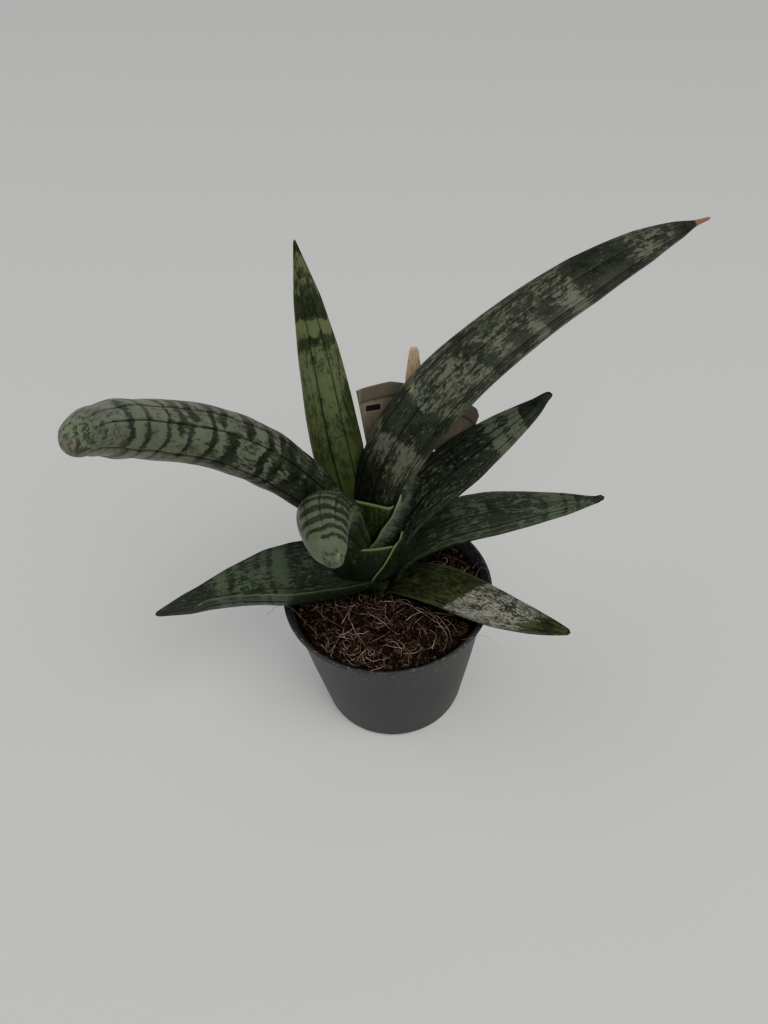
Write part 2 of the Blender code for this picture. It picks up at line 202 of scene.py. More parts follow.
class Paint:
    """One material that is built up step by step."""

    def __init__(self, name, roughness, shine):
        self.material = bpy.data.materials.new(name)
        self.material.use_nodes = True
        self.tree = self.material.node_tree
        self.shader = self.tree.nodes["Principled BSDF"]
        self.shader.inputs["Roughness"].default_value = roughness
        self.shader.inputs["Specular IOR Level"].default_value = shine
        self.place = self.add("ShaderNodeTexCoord").outputs["Object"]

    def add(self, kind, **settings):
        node = self.tree.nodes.new(kind)
        for key, value in settings.items():
            setattr(node, key, value)
        return node

    def feed(self, socket, value):
        if isinstance(value, bpy.types.NodeSocket):
            self.tree.links.new(value, socket)
        elif isinstance(value, tuple):
            socket.default_value = (*value, 1)
        else:
            socket.default_value = value

    def sum(self, operation, first, second, clamp=False):
        node = self.add("ShaderNodeMath", operation=operation, use_clamp=clamp)
        self.feed(node.inputs[0], first)
        self.feed(node.inputs[1], second)
        return node.outputs[0]

    def noise(self, size, detail=3.0, rough=0.6, stretch=None, source=None):
        """Noise whose features are about the given size in millimetres."""
        node = self.add("ShaderNodeTexNoise")
        node.inputs["Scale"].default_value = 1 / (size * MM)
        node.inputs["Detail"].default_value = detail
        node.inputs["Roughness"].default_value = rough
        source = source or self.place
        if stretch:
            pull = self.add("ShaderNodeMapping")
            pull.inputs["Scale"].default_value = stretch
            self.feed(pull.inputs["Vector"], source)
            source = pull.outputs["Vector"]
        self.feed(node.inputs["Vector"], source)
        return node.outputs["Fac"]

    def switch(self, value, low, high):
        """Goes softly from 0 to 1 as the value passes from low to high."""
        node = self.add("ShaderNodeMapRange", interpolation_type="SMOOTHSTEP")
        self.feed(node.inputs["Value"], value)
        node.inputs["From Min"].default_value = low
        node.inputs["From Max"].default_value = high
        return node.outputs["Result"]

    def mix(self, amount, first, second):
        node = self.add("ShaderNodeMix", data_type="RGBA")
        self.feed(node.inputs["Factor"], amount)
        self.feed(node.inputs[6], first)
        self.feed(node.inputs[7], second)
        return node.outputs[2]

    def marks(self, name):
        """The three numbers that a piece's points carry under a name."""
        split = self.add("ShaderNodeSeparateXYZ")
        self.feed(split.inputs[0], self.add("ShaderNodeAttribute", attribute_name=name).outputs["Vector"])
        return split.outputs[0], split.outputs[1], split.outputs[2]

    def finish(self, colour, height=None, strength=0.3, depth=0.2):
        self.feed(self.shader.inputs["Base Color"], colour)
        if height is not None:
            bump = self.add("ShaderNodeBump")
            bump.inputs["Strength"].default_value = strength
            bump.inputs["Distance"].default_value = depth * MM
            self.feed(bump.inputs["Height"], height)
            self.feed(self.shader.inputs["Normal"], bump.outputs["Normal"])
        return self.material


print("paint ready")

# %% [markdown]
# A leaf is a ball that is drawn out along a line. Its two poles become the base and the tip, and its
# rings become sections across the leaf. The ball's columns are crowded together beside each groove and
# each margin, so that a groove a half millimetre wide is real shape and not only paint. Near the crown
# the margins are pulled sideways and up, because there each leaf clasps the ones inside it. Every point
# also remembers how dark its band is, whether it lies in a groove or on a margin, and how young, scaly
# or dry the leaf is there. The skin reads those numbers, so the bands follow the leaf however it bends.

# %% Leaf builder
LEAF_SIDES = 44
GROOVE_COLUMNS = (-6.5, -2.8, -1.1, 0.0, 1.1, 2.8, 6.5)
GROOVE_DEPTH = 0.32
GROOVE_SPREAD = 1.5
MARGIN_SPREAD = 3.0
MARGIN_THICKNESS = 0.28
RINGS_PER_MM = 1.7
GRAIN_STRETCH = 0.3


def column_angles(lines):
    """Angles round the leaf in degrees, evenly spread and crowded at the given lines."""
    crowded = [(line + step) % 360 for line in lines for step in GROOVE_COLUMNS]
    spread = [360 * i / LEAF_SIDES for i in range(LEAF_SIDES)]
    free = [a for a in spread if all(abs((a - c + 180) % 360 - 180) > 2.4 for c in crowded)]
    return np.array(sorted(set(crowded + free)))


def apart(angles, middle):
    return (angles - middle + 180) % 360 - 180


def leaf_frames(leaf, rings):
    """The leaf's line, with its sideways and upward directions, for every ring."""
    places = np.linspace(0, 1, rings + 1)
    centres = smooth_path(leaf["path"], rings + 1)
    forward = unit(np.gradient(centres, axis=0))
    facing = np.radians(along(leaf["facing"], places, 40))
    level = np.stack([-np.sin(facing), np.cos(facing), np.zeros_like(facing)], axis=1)
    level = unit(level - forward * np.sum(level * forward, axis=1)[:, None])
    lift = np.cross(forward, level)
    roll = np.radians(along(leaf.get("roll", [(0, 0), (1, 0)]), places, 40))[:, None]
    across = level * np.cos(roll) + lift * np.sin(roll)
    upward = lift * np.cos(roll) - level * np.sin(roll)
    return places, centres, across, upward


def leaf_points(leaf, rings, angles):
    """Where every point of the leaf lies, ring by ring."""
    places, centres, across, upward = leaf_frames(leaf, rings)
    length = np.sum(np.linalg.norm(np.diff(centres, axis=0), axis=1))
    half = along(leaf["width"], places) / 2 * MM
    under = along(leaf["under"], places) * MM
    over = along(leaf["over"], places) * MM
    cos = np.cos(np.radians(angles))
    sin = np.sin(np.radians(angles))
    rise = np.where(sin > 0, over[:, None], under[:, None]) * sin
    rise = rise + MARGIN_THICKNESS * MM * np.sign(sin) * np.sqrt(np.minimum(1, 4 * np.abs(sin)))
    side = half[:, None] * cos
    points = centres[:, None, :] + across[:, None, :] * side[..., None] + upward[:, None, :] * rise[..., None]
    for key, reach in (("pull_first", np.maximum(0, cos)), ("pull_second", np.maximum(0, -cos))):
        if key in leaf:
            pull = along(leaf[key], places, 14) * MM
            points = points + pull[:, None, :] * (reach**2.2)[None, :, None]
    tip = np.clip((1 - places) * length / (leaf.get("tip_run", 1.2) * MM), 0, 1)
    close = np.sqrt(1 - (1 - tip) ** 2)
    points = centres[:, None, :] + (points - centres[:, None, :]) * close[:, None, None]
    return places, length, centres, points


def band_darkness(leaf, places, angles, seed):
    """How dark the wax is everywhere: zones along the leaf, plus single bands and patches."""
    wobble = np.array([[noise.noise(Vector((math.cos(math.radians(a)) * 1.7, math.sin(math.radians(a)) * 1.7 + seed,
                                            place * 9.0))) for a in angles] for place in places])
    lines = np.sort(np.array(leaf["grooves"]))
    strip = np.searchsorted(lines, angles) % len(lines)
    shift = np.array([noise.noise(Vector((seed, 3.7 * k, 0.0))) for k in range(len(lines))])[strip]
    spot = places[:, None] + wobble * leaf.get("wobble", 0.016) + shift[None, :] * leaf.get("stagger", 0.012)
    dark = np.interp(spot, [zone[0] for zone in leaf["zones"]], [zone[1] for zone in leaf["zones"]])
    for place, reach, strength, middle, spread, slant in leaf["patches"]:
        turn = apart(angles, middle)
        inside = np.clip((spread - np.abs(turn)) / 10 + 0.5, 0, 1)
        run = (spot - place - slant * turn[None, :] / 100) / reach
        dark = dark + strength * np.exp(-(run**2)) * inside[None, :]
    return dark


def half_girth(leaf, places):
    """Millimetres round the leaf for each degree."""
    return along(leaf["width"], places) / 2 * math.pi / 180


def leaf_mesh(name, leaf, seed):
    rough_length = np.sum(np.linalg.norm(np.diff(np.array(leaf["path"], dtype=float), axis=0), axis=1))
    rings = int(rough_length * RINGS_PER_MM)
    angles = column_angles(leaf["grooves"] + [0, 180])
    places, length, centres, points = leaf_points(leaf, rings, angles)
    dark = band_darkness(leaf, places, angles, seed)
    fade = along(leaf.get("groove_run", [(0, 0), (0.05, 1), (0.9, 1), (1, 0)]), places)[:, None]
    groove = np.max([np.exp(-((apart(angles, line) / GROOVE_SPREAD) ** 2)) for line in leaf["grooves"]], axis=0)
    groove = groove[None, :] * fade
    margin = np.max([np.exp(-((apart(angles, line) / MARGIN_SPREAD) ** 2)) for line in (0, 180)], axis=0)
    margin = margin[None, :] * along(leaf.get("margin", [(0, 0.8), (0.3, 0.6), (1, 0.3)]), places)[:, None]
    for place, angle, reach in leaf.get("scars", []):
        run = (places[:, None] - place) * length / MM
        turn = apart(angles, angle)[None, :] * half_girth(leaf, places)[:, None]
        margin = margin + 2.5 * np.exp(-(run**2 + turn**2) / reach**2)
    inward = centres[:, None, :] - points
    depth = np.linalg.norm(inward, axis=2)
    sink = groove * np.minimum(GROOVE_DEPTH * MM, 0.1 * depth)
    swell = leaf.get("swell", 0.0) * MM
    ripple = np.array([noise.noise(Vector((seed, 0.0, place * length * 95))) for place in places])[:, None]
    sink = sink - swell * (ripple - 0.3 * np.clip(dark, 0, 1)) * fade
    points = points + inward / np.maximum(depth, 1e-7)[..., None] * sink[..., None]
    young = along(leaf.get("young", [(0, 1), (0.18, 0), (1, 0)]), places)
    tilted = places[:, None] - leaf.get("scale_slant", 0.0) * np.cos(np.radians(angles))[None, :]
    scale_keys = leaf.get("scale", [(0, 0), (1, 0)])
    scale = np.interp(tilted, [key[0] for key in scale_keys], [key[1] for key in scale_keys])
    dry = along(leaf.get("dry", [(0, 0), (1, 0)]), places, 1)
    shape = bmesh.new()
    bmesh.ops.create_uvsphere(shape, u_segments=len(angles), v_segments=rings, radius=1)
    first = shape.verts.layers.float_vector.new("leaf_marks")
    second = shape.verts.layers.float_vector.new("leaf_more")
    third = shape.verts.layers.float_vector.new("leaf_grain")
    for vertex in shape.verts:
        x, y, z = vertex.co
        ring = round((1 - math.acos(max(-1.0, min(1.0, z))) / math.pi) * rings)
        column = round(math.atan2(y, x) / math.tau * len(angles)) % len(angles)
        vertex.co = centres[ring] if ring in (0, rings) else points[ring, column]
        vertex[first] = (dark[ring, column], groove[ring, column], young[ring])
        vertex[second] = (margin[ring, column], scale[ring, column], dry[ring])
        away, turn = depth[ring, column], math.radians(angles[column])
        vertex[third] = (away * math.cos(turn), away * math.sin(turn), GRAIN_STRETCH * places[ring] * length + seed)
    mesh = to_mesh(name, shape)
    print(name, round(length / MM, 1), "mm,", len(mesh.polygons), "faces")
    return mesh


print("leaf builder ready")

# %% [markdown]
# The skin is a pale grey-green wax over dark green flesh. The bands aren't clean stripes: at their
# edges they break up into specks. So the skin takes each point's darkness, adds two finenesses of
# noise to it, and goes from pale to dark where the sum passes a limit. Over that come painted shade
# in the grooves, the pale margins, the fresh green of young flesh near the crown, grey scale on an old
# leaf, and dry tips. On the middle right leaf's base sheet the fresh colour is a pale painted sheen.

# %% Leaf skin
PALE_MARGIN = (0.125, 0.165, 0.065)
GREY_SCALE = (0.19, 0.19, 0.155)
DRY_TIP = (0.17, 0.085, 0.055)


def leaf_skin(name, pale, dark, fresh_and_sheen, patch_power=1.0, speck_power=1.3, soft=0.16):
    paint = Paint(name, 0.46, 0.11)
    darkness, groove, young = paint.marks("leaf_marks")
    margin, scale, dry = paint.marks("leaf_more")
    lengthwise = paint.add("ShaderNodeAttribute", attribute_name="leaf_grain").outputs["Vector"]
    patches = paint.noise(3.6, 4.0, 0.65)
    specks = paint.noise(0.7, 3.0, 0.7, source=lengthwise)
    grain = paint.noise(0.26, 2.0, 0.6, source=lengthwise)
    streaks = paint.noise(0.8, 3.0, 0.6, (1, 1, 0.3), lengthwise)
    total = paint.sum("ADD", darkness, paint.sum("MULTIPLY", paint.sum("SUBTRACT", patches, 0.5), patch_power))
    total = paint.sum("ADD", total, paint.sum("MULTIPLY", paint.sum("SUBTRACT", specks, 0.5), speck_power))
    total = paint.sum("ADD", total, paint.sum("MULTIPLY", paint.sum("SUBTRACT", grain, 0.5), 0.6 * speck_power))
    total = paint.sum("ADD", total, paint.sum("MULTIPLY", paint.sum("SUBTRACT", streaks, 0.5), 0.5 * speck_power))
    body = paint.mix(paint.switch(total, 0.5 - soft, 0.5 + soft), pale, dark)
    shade = paint.sum("MULTIPLY", paint.switch(patches, 0.3, 0.7), 0.35)
    body = paint.mix(shade, body, tuple(0.62 * c for c in pale))
    body = paint.mix(paint.sum("MULTIPLY", paint.switch(grain, 0.5, 0.8), 0.25), body,
                     tuple(1.3 * c + 0.01 for c in pale))
    # Where a leaf is marked young the fresh colour is laid over it. On the middle right leaf's base sheet this colour
    # is a pale painted sheen.
    fresh_and_sheen_body = paint.mix(paint.switch(streaks, 0.35, 0.65), fresh_and_sheen, tuple(0.6 * c for c in fresh_and_sheen))
    body = paint.mix(paint.sum("MULTIPLY", young, 0.8, True), body, fresh_and_sheen_body)
    # The grooves are mixed towards a deeper flesh colour: painted shade in the sunk grooves.
    body = paint.mix(paint.sum("MULTIPLY", groove, 0.85, True), body, tuple(0.45 * c for c in dark))
    body = paint.mix(paint.sum("MULTIPLY", margin, 0.7, True), body, PALE_MARGIN)
    crust = paint.switch(paint.sum("ADD", scale, paint.sum("MULTIPLY", paint.sum("SUBTRACT", specks, 0.5), 1.1)),
                         0.35, 0.6)
    crust_grain = paint.sum("ADD", paint.sum("MULTIPLY", grain, 0.4), paint.sum("MULTIPLY", specks, 0.35))
    crust_grain = paint.sum("ADD", crust_grain, paint.sum("MULTIPLY", patches, 0.25))
    crust_colour = paint.mix(paint.switch(crust_grain, 0.44, 0.58), tuple(0.1 * c for c in GREY_SCALE), GREY_SCALE)
    body = paint.mix(crust, body, crust_colour)
    body = paint.mix(paint.switch(dry, 0.3, 0.8), body, DRY_TIP)
    return paint.finish(body, specks, 0.25, 0.2)


print("leaf skin ready")

# %% [markdown]
# The long left leaf is nearly a round bar. It rises to the left and comes towards the viewer, so its
# blunt end is the nearest thing to the camera. Its wax is pale, with thin dark cross bands and some
# broader dark patches between the grooves, and a small dry spot on the very end.

# %% Long left leaf
long_left = {
    "path": [(-7, 10.8, 38), (-9.6, 10.6, 56), (-15.5, 8.6, 74.5), (-27.2, 2, 97.6), (-38.5, -9, 116.5),
             (-47.2, -25, 133.6), (-50.3, -42, 148.8), (-50.1, -56, 159.7), (-50.0, -62.2, 162.9)],
    "facing": [(0, 195), (0.4, 215), (0.7, 240), (1, 262)],
    "width": [(0, 9), (0.1, 11), (0.2, 14), (0.35, 16.7), (0.5, 16.2), (0.65, 14.4), (0.8, 11.6),
              (0.92, 8.7), (0.975, 6.6), (1, 5.4)],
    "under": [(0, 2.5), (0.2, 5.5), (0.4, 7.7), (0.6, 7.3), (0.8, 5.9), (0.92, 4.3), (1, 2.6)],
    "over": [(0, 2), (0.2, 5), (0.4, 6.7), (0.6, 6.3), (0.8, 5.3), (0.92, 4.1), (1, 2.6)],
    "grooves": [24, 62, 104, 150, 196, 240, 284, 325],
    "zones": [(0, 0.8), (0.22, 0.74), (0.31, 0.60), (0.36, 0.50), (0.45, 0.48), (0.55, 0.43), (0.66, 0.37),
              (0.8, 0.32), (0.9, 0.38), (1, 0.46)],
    "patches": [(0.30, 0.045, 0.45, -10, 45, 0), (0.345, 0.006, 0.4, 40, 60, 0), (0.385, 0.016, 0.42, -10, 40, 0),
                (0.405, 0.009, 0.42, 60, 45, 0), (0.43, 0.0055, 0.7, 20, 95, 0), (0.465, 0.006, 0.72, 20, 95, 0),
                (0.52, 0.009, 0.6, 75, 42, 0), (0.555, 0.016, 0.5, -10, 36, 0), (0.578, 0.006, 0.5, 75, 42, 0),
                (0.605, 0.006, 0.5, 10, 85, 0), (0.66, 0.013, 0.55, 72, 36, 0), (0.665, 0.007, 0.4, -10, 36, 0),
                (0.695, 0.008, 0.42, 50, 50, 0), (0.732, 0.007, 0.45, 10, 85, 0), (0.80, 0.009, 0.45, 10, 85, 0),
                (0.85, 0.010, 0.4, 10, 85, 0), (0.745, 0.012, -0.25, 0, 40, 0), (0.83, 0.010, -0.25, 0, 50, 0)],
    "young": [(0, 0.3), (0.1, 0), (1, 0)],
    "margin": [(0, 0), (1, 0)],
    "dry": [(0, 0), (0.998, 0), (0.9995, 0.5), (1, 0.6)],
    "tip_run": 5.0,
    "swell": 0.4,
}
PALE_WAX = (0.100, 0.116, 0.077)
DARK_FLESH = (0.0035, 0.0065, 0.0020)
FRESH_BASE = (0.030, 0.042, 0.012)
pale_skin = leaf_skin("pale_leaf_skin", PALE_WAX, DARK_FLESH, FRESH_BASE, 0.8, 1.1, 0.14)
add_piece("long_left_leaf", leaf_mesh("long_left_leaf", long_left, 1.0), pale_skin, "leaf_long_left")

# %% [markdown]
# The front leaf is just as stout, and points straight at the viewer, so its bands show as rings one
# inside the other round the tip. A sheet of the upright leaf's base shows between it and the right leaves.

# %% Front leaf
front = {
    "path": [(-4, 6.4, 38), (-6.4, 5.9, 57.4), (-9.9, 0.2, 72), (-12.4, -8, 85.9), (-13.6, -18, 96.1),
             (-13.4, -28, 102.6), (-12.3, -37, 106.4), (-10.2, -46, 109.7)],
    "facing": [(0, 258), (1, 266)],
    "width": [(0, 9), (0.15, 10), (0.35, 12.6), (0.5, 14.2), (0.65, 13.9), (0.8, 12), (0.92, 8.2), (1, 2.6)],
    "under": [(0, 2), (0.2, 4.2), (0.5, 6), (0.75, 5), (0.92, 3.4), (1, 1.0)],
    "over": [(0, 1.5), (0.2, 4), (0.5, 5.6), (0.75, 5), (0.92, 3), (1, 1.0)],
    "pull_first": [(0, (-2.5, 0, 0)), (0.2, (-2.5, 0, 0)), (0.34, (-1.2, 0, 0)), (0.5, (0, 0, 0)), (1, (0, 0, 0))],
    "grooves": [22, 60, 98, 136, 170, 215, 270, 305, 338],
    "zones": [(0, 0.8), (0.3, 0.62), (0.46, 0.5), (0.55, 0.36), (0.9, 0.28), (0.955, 0.32), (0.975, 0.5), (1, 0.4)],
    "patches": [(0.50, 0.012, 0.3, 90, 70, 0), (0.56, 0.012, 0.35, 90, 70, 0), (0.62, 0.011, 0.4, 90, 70, 0),
                (0.68, 0.012, 0.45, 90, 70, 0), (0.735, 0.012, 0.55, 85, 70, 0), (0.79, 0.013, 0.62, 85, 75, 0),
                (0.838, 0.012, 0.65, 85, 80, 0), (0.882, 0.010, 0.6, 85, 80, 0), (0.918, 0.008, 0.5, 60, 60, 0),
                (0.86, 0.006, -0.25, 95, 60, 0), (0.812, 0.006, -0.25, 95, 60, 0), (0.5, 0.25, 0.25, 0, 60, 0)],
    "young": [(0, 0.4), (0.15, 0), (1, 0)],
    "margin": [(0, 0.5), (0.5, 0.5), (0.7, 0.2), (0.8, 0), (1, 0)],
    "groove_run": [(0, 0), (0.05, 1), (0.8, 0.9), (0.88, 0.3), (0.92, 0), (1, 0)],
    "scars": [(0.985, 60, 0.35)],
    "wobble": 0.01,
    "tip_run": 2.4,
    "swell": 0.25,
}
front_skin = leaf_skin("front_leaf_skin", (0.080, 0.100, 0.060), (0.0080, 0.0130, 0.0045), FRESH_BASE, 0.5, 0.8, 0.14)
add_piece("front_leaf", leaf_mesh("front_leaf", front, 2.0), front_skin, "leaf_front")

# %% [markdown]
# The long right leaf arches up and back. It is broader and flatter, with long dark and pale zones
# that are eaten away at their edges, a double line near its lower margin, and a dry tan spine.

# %% Long right leaf
long_right = {
    "path": [(-2.6, 10.4, 38), (-2.5, 10.9, 58), (-1.3, 11.8, 69), (4.5, 14.5, 84.5), (17.7, 21.3, 99.1),
             (40, 32.6, 111.1), (62.7, 44.2, 117.8), (80, 53, 120.3), (91.5, 59.0, 120.3), (96.6, 61.6, 120.1)],
    "facing": [(0, 27), (1, 27)],
    "roll": [(0, 20), (1, 20)],
    "width": [(0, 12), (0.12, 13.5), (0.22, 16.2), (0.33, 18), (0.44, 18), (0.58, 16.4), (0.73, 14.6),
              (0.85, 10.5), (0.93, 5.2), (0.955, 2.6), (0.966, 1.5), (1, 0.5)],
    "under": [(0, 2), (0.2, 4.2), (0.4, 5.5), (0.6, 5.2), (0.8, 4.2), (0.92, 1.9), (0.96, 0.8), (1, 0.2)],
    "over": [(0, 1.5), (0.2, 2.5), (0.6, 2.5), (0.8, 2), (0.92, 1.2), (0.96, 0.7), (1, 0.2)],
    "grooves": [47, 89, 143, 151, 205, 250, 290, 330],
    "zones": [(0, 0.95), (0.2, 0.8), (0.25, 0.7), (0.28, 0.44), (0.325, 0.38), (0.335, 0.82), (0.375, 0.82),
              (0.386, 0.46), (0.41, 0.52), (0.5, 0.56), (0.53, 0.52), (0.60, 0.58), (0.70, 0.52), (0.725, 0.76),
              (0.80, 0.76), (0.83, 0.56), (0.885, 0.50), (0.895, 0.68), (0.91, 0.5), (0.925, 0.68),
              (0.945, 0.9), (1, 0.9)],
    "patches": [(0.385, 0.005, 0.45, 75, 50, 0), (0.395, 0.011, 0.5, 150, 34, 0), (0.512, 0.011, 0.36, 100, 80, 0.02),
                (0.585, 0.018, 0.34, 135, 34, 0), (0.65, 0.017, 0.34, 130, 36, 0), (0.615, 0.014, -0.25, 140, 32, 0),
                (0.695, 0.016, -0.3, 140, 32, 0), (0.76, 0.03, 0.2, 60, 50, 0), (0.24, 0.05, 0.3, 55, 45, 0), (0.78, 0.016, 0.25, 140, 40, 0)],
    "young": [(0, 0.35), (0.12, 0.25), (0.22, 0), (1, 0)],
    "margin": [(0, 0.9), (0.3, 0.35), (0.9, 0.25), (1, 0)],
    "pull_second": [(0, (0, 2.2, 0)), (0.12, (0, 2.2, 0)), (0.2, (0, 0.4, 0)), (0.25, (0, 0, 0)), (1, (0, 0, 0))],
    "scars": [(0.398, 52, 0.55), (0.404, 48, 0.45)],
    "dry": [(0, 0), (0.958, 0), (0.964, 1), (1, 1)],
    "wobble": 0.02,
}
GREY_WAX = (0.078, 0.088, 0.060)
OLIVE_FLESH = (0.0030, 0.0055, 0.0020)
grey_skin = leaf_skin("grey_leaf_skin", GREY_WAX, OLIVE_FLESH, (0.022, 0.028, 0.010), 0.9, 1.6, 0.2)
add_piece("long_right_leaf", leaf_mesh("long_right_leaf", long_right, 3.0), grey_skin, "leaf_long_right")

# %% [markdown]
# The upright leaf stands at the back. It is the youngest that shows, so the lower half of it is a
# fresh yellow-green. Low down, its base wraps right round the long right leaf, and the front of that
# wrapping is a thin sheet with a pale upper edge, built as a bent plate between two edges.

# %% Upright leaf
upright = {
    "path": [(-5.2, 12.5, 40), (-6.8, 15, 58), (-9, 17.5, 70), (-11.3, 20.8, 88), (-12.7, 23.6, 106),
             (-14.5, 27.3, 126), (-16.1, 29.6, 142.5)],
    "facing": [(0, 124), (0.5, 110), (1, 95)],
    "width": [(0, 10), (0.15, 11.5), (0.28, 13.6), (0.42, 14.6), (0.55, 13.4), (0.7, 11), (0.85, 7), (1, 0.5)],
    "under": [(0, 1.5), (0.2, 3), (0.5, 4), (0.8, 2.6), (1, 0.3)],
    "over": [(0, 1), (0.2, 2), (0.5, 2.5), (0.8, 1.6), (1, 0.3)],
    "grooves": [66, 109, 215, 270, 325],
    "zones": [(0, 0.3), (0.3, 0.34), (0.45, 0.44), (0.57, 0.42), (0.60, 0.38), (0.72, 0.4), (0.735, 0.62),
              (0.755, 0.60), (0.765, 0.25), (0.795, 0.22), (0.805, 0.9), (0.85, 0.85), (0.87, 0.6), (0.91, 0.55),
              (0.925, 0.3), (0.935, 0.3), (0.945, 0.55), (0.955, 0.4), (0.97, 0.9), (1, 0.95)],
    "patches": [(0.54, 0.10, 0.25, 150, 30, 0), (0.745, 0.010, 0.25, 60, 30, 0), (0.62, 0.02, -0.15, 90, 50, 0)],
    "young": [(0, 1.1), (0.28, 1), (0.40, 0.8), (0.52, 0.35), (0.64, 0), (1, 0)],
    "margin": [(0, 0.9), (0.35, 0.5), (0.6, 0.1), (1, 0)],
}
FRESH_GREEN = (0.022, 0.037, 0.004)
fresh_skin = leaf_skin("fresh_leaf_skin", (0.088, 0.110, 0.050), (0.006, 0.012, 0.003), FRESH_GREEN, 0.8, 1.2, 0.2)
add_piece("upright_leaf", leaf_mesh("upright_leaf", upright, 4.0), fresh_skin, "leaf_upright")

SHEET_COLUMNS = 44
SHEET_ROWS = 26
SHEET_THICKNESS = 0.4
SHEET_GRAIN = 0.4
MARGIN_WIDTH = 0.5


def bent_sheet(name, lip, foot, lines, young, dark, material, bulge=0.8):
    """A thin piece of leaf between two edges. The first edge is its pale margin."""
    upper = smooth_path(lip, SHEET_COLUMNS + 1)
    lower = smooth_path(foot, SHEET_COLUMNS + 1)
    height = np.linalg.norm(upper - lower, axis=1)
    shape = bmesh.new()
    bmesh.ops.create_grid(shape, x_segments=SHEET_COLUMNS, y_segments=SHEET_ROWS, size=0.5)
    first = shape.verts.layers.float_vector.new("leaf_marks")
    second = shape.verts.layers.float_vector.new("leaf_more")
    third = shape.verts.layers.float_vector.new("leaf_grain")
    for vertex in shape.verts:
        column = round((vertex.co.x + 0.5) * SHEET_COLUMNS)
        down = 0.5 - vertex.co.y
        place = upper[column] * (1 - down) + lower[column] * down
        vertex.co = Vector(place) - Vector((0, bulge * math.sin(math.pi * down) * MM, 0))
        # Dark lines at the given columns mark grooves on the flat sheet: painted shade, with no groove in the shape.
        line = max([math.exp(-(((column - middle) / 0.6) ** 2)) for middle in lines] + [0.0])
        edge = math.exp(-((down * height[column] / (MARGIN_WIDTH * MM)) ** 2))
        # Darkness goes from the first given value at the lip to the second at the foot. The deeper dark low down is
        # painted shade among the leaf bases.
        vertex[first] = (dark[0] * (1 - down) + dark[1] * down, 0.5 * line, young * (1 - down) ** 2)
        vertex[second] = (1.2 * edge, 0.0, 0.0)
        vertex[third] = (column * SHEET_GRAIN * MM, 0, GRAIN_STRETCH * down * height[column])
    sheet = add_piece(name, to_mesh(name, shape), material, None)
    thickness = sheet.modifiers.new("thickness", "SOLIDIFY")
    thickness.thickness = SHEET_THICKNESS * MM
    thickness.offset = 0
    print(name, len(sheet.data.polygons), "faces before its thickness")


bent_sheet("upright_leaf_sheath",
           [(-12, 15, 69), (-9.8, 12, 71), (-7.4, 10, 72), (-2.4, 7.8, 72.2), (2.4, 5.8, 72.4), (3.8, 7.4, 72)],
           [(-9.5, 11.5, 46), (-7.5, 8.8, 46), (-5.0, 7.6, 46), (-3.2, 7.4, 46), (-1.8, 8, 46), (-0.8, 9.5, 46)],
           (15, 24, 33), 0.6, (0.55, 0.8), fresh_skin, 0.3)

# %% [markdown]
# Two shorter leaves lie one above the other on the right. The upper one is almost black with a few
# pale cross bands near its hooked tip. The lower one is a dull dark green and ends in a black curl.

# %% Right leaves
middle_right = {
    "path": [(-1.2, 8, 41), (1.6, 10.2, 54), (6.0, 12.4, 61.6), (13.9, 14.8, 70.1), (22.6, 17.1, 76.7),
             (34, 20.2, 84), (43.5, 22.8, 89.8), (46.9, 23.7, 92.6), (48.4, 23.9, 92.9)],
    "facing": [(0, 15), (1, 15)],
    "roll": [(0, 10), (1, 10)],
    "width": [(0, 10), (0.15, 11.5), (0.3, 13.6), (0.5, 16), (0.62, 15.4), (0.78, 11), (0.9, 6.2), (0.97, 2.6),
              (1, 1.6)],
    "under": [(0, 1.6), (0.3, 4.2), (0.6, 4.5), (0.85, 2.6), (1, 0.5)],
    "over": [(0, 0.5), (0.15, -0.6), (0.3, 0.6), (0.45, 3), (0.6, 3.2), (0.85, 2), (1, 0.5)],
    "pull_first": [(0, (-1, -4, 6)), (0.1, (-1, -4, 6)), (0.2, (0, -5, 5)), (0.28, (0, -3, 3)), (0.42, (0, 0, 0)),
                   (1, (0, 0, 0))],
    "grooves": [62, 88, 112, 150, 215, 270, 325],
    "zones": [(0, 0.8), (0.12, 0.8), (0.2, 0.7), (0.3, 0.62), (0.5, 0.66), (0.6, 0.78), (0.71, 0.74),
              (0.73, 0.62), (0.745, 0.36), (0.78, 0.3), (0.79, 0.62), (0.805, 0.5), (0.82, 0.28), (0.86, 0.22),
              (0.872, 1.0), (1, 1.1)],
    "patches": [(0.765, 0.018, -0.2, 150, 40, 0), (0.40, 0.05, -0.15, 70, 40, 0)],
    "young": [(0, 0), (1, 0)],
    "margin": [(0, 0.2), (0.4, 0.2), (0.9, 0.15), (1, 0)],
}
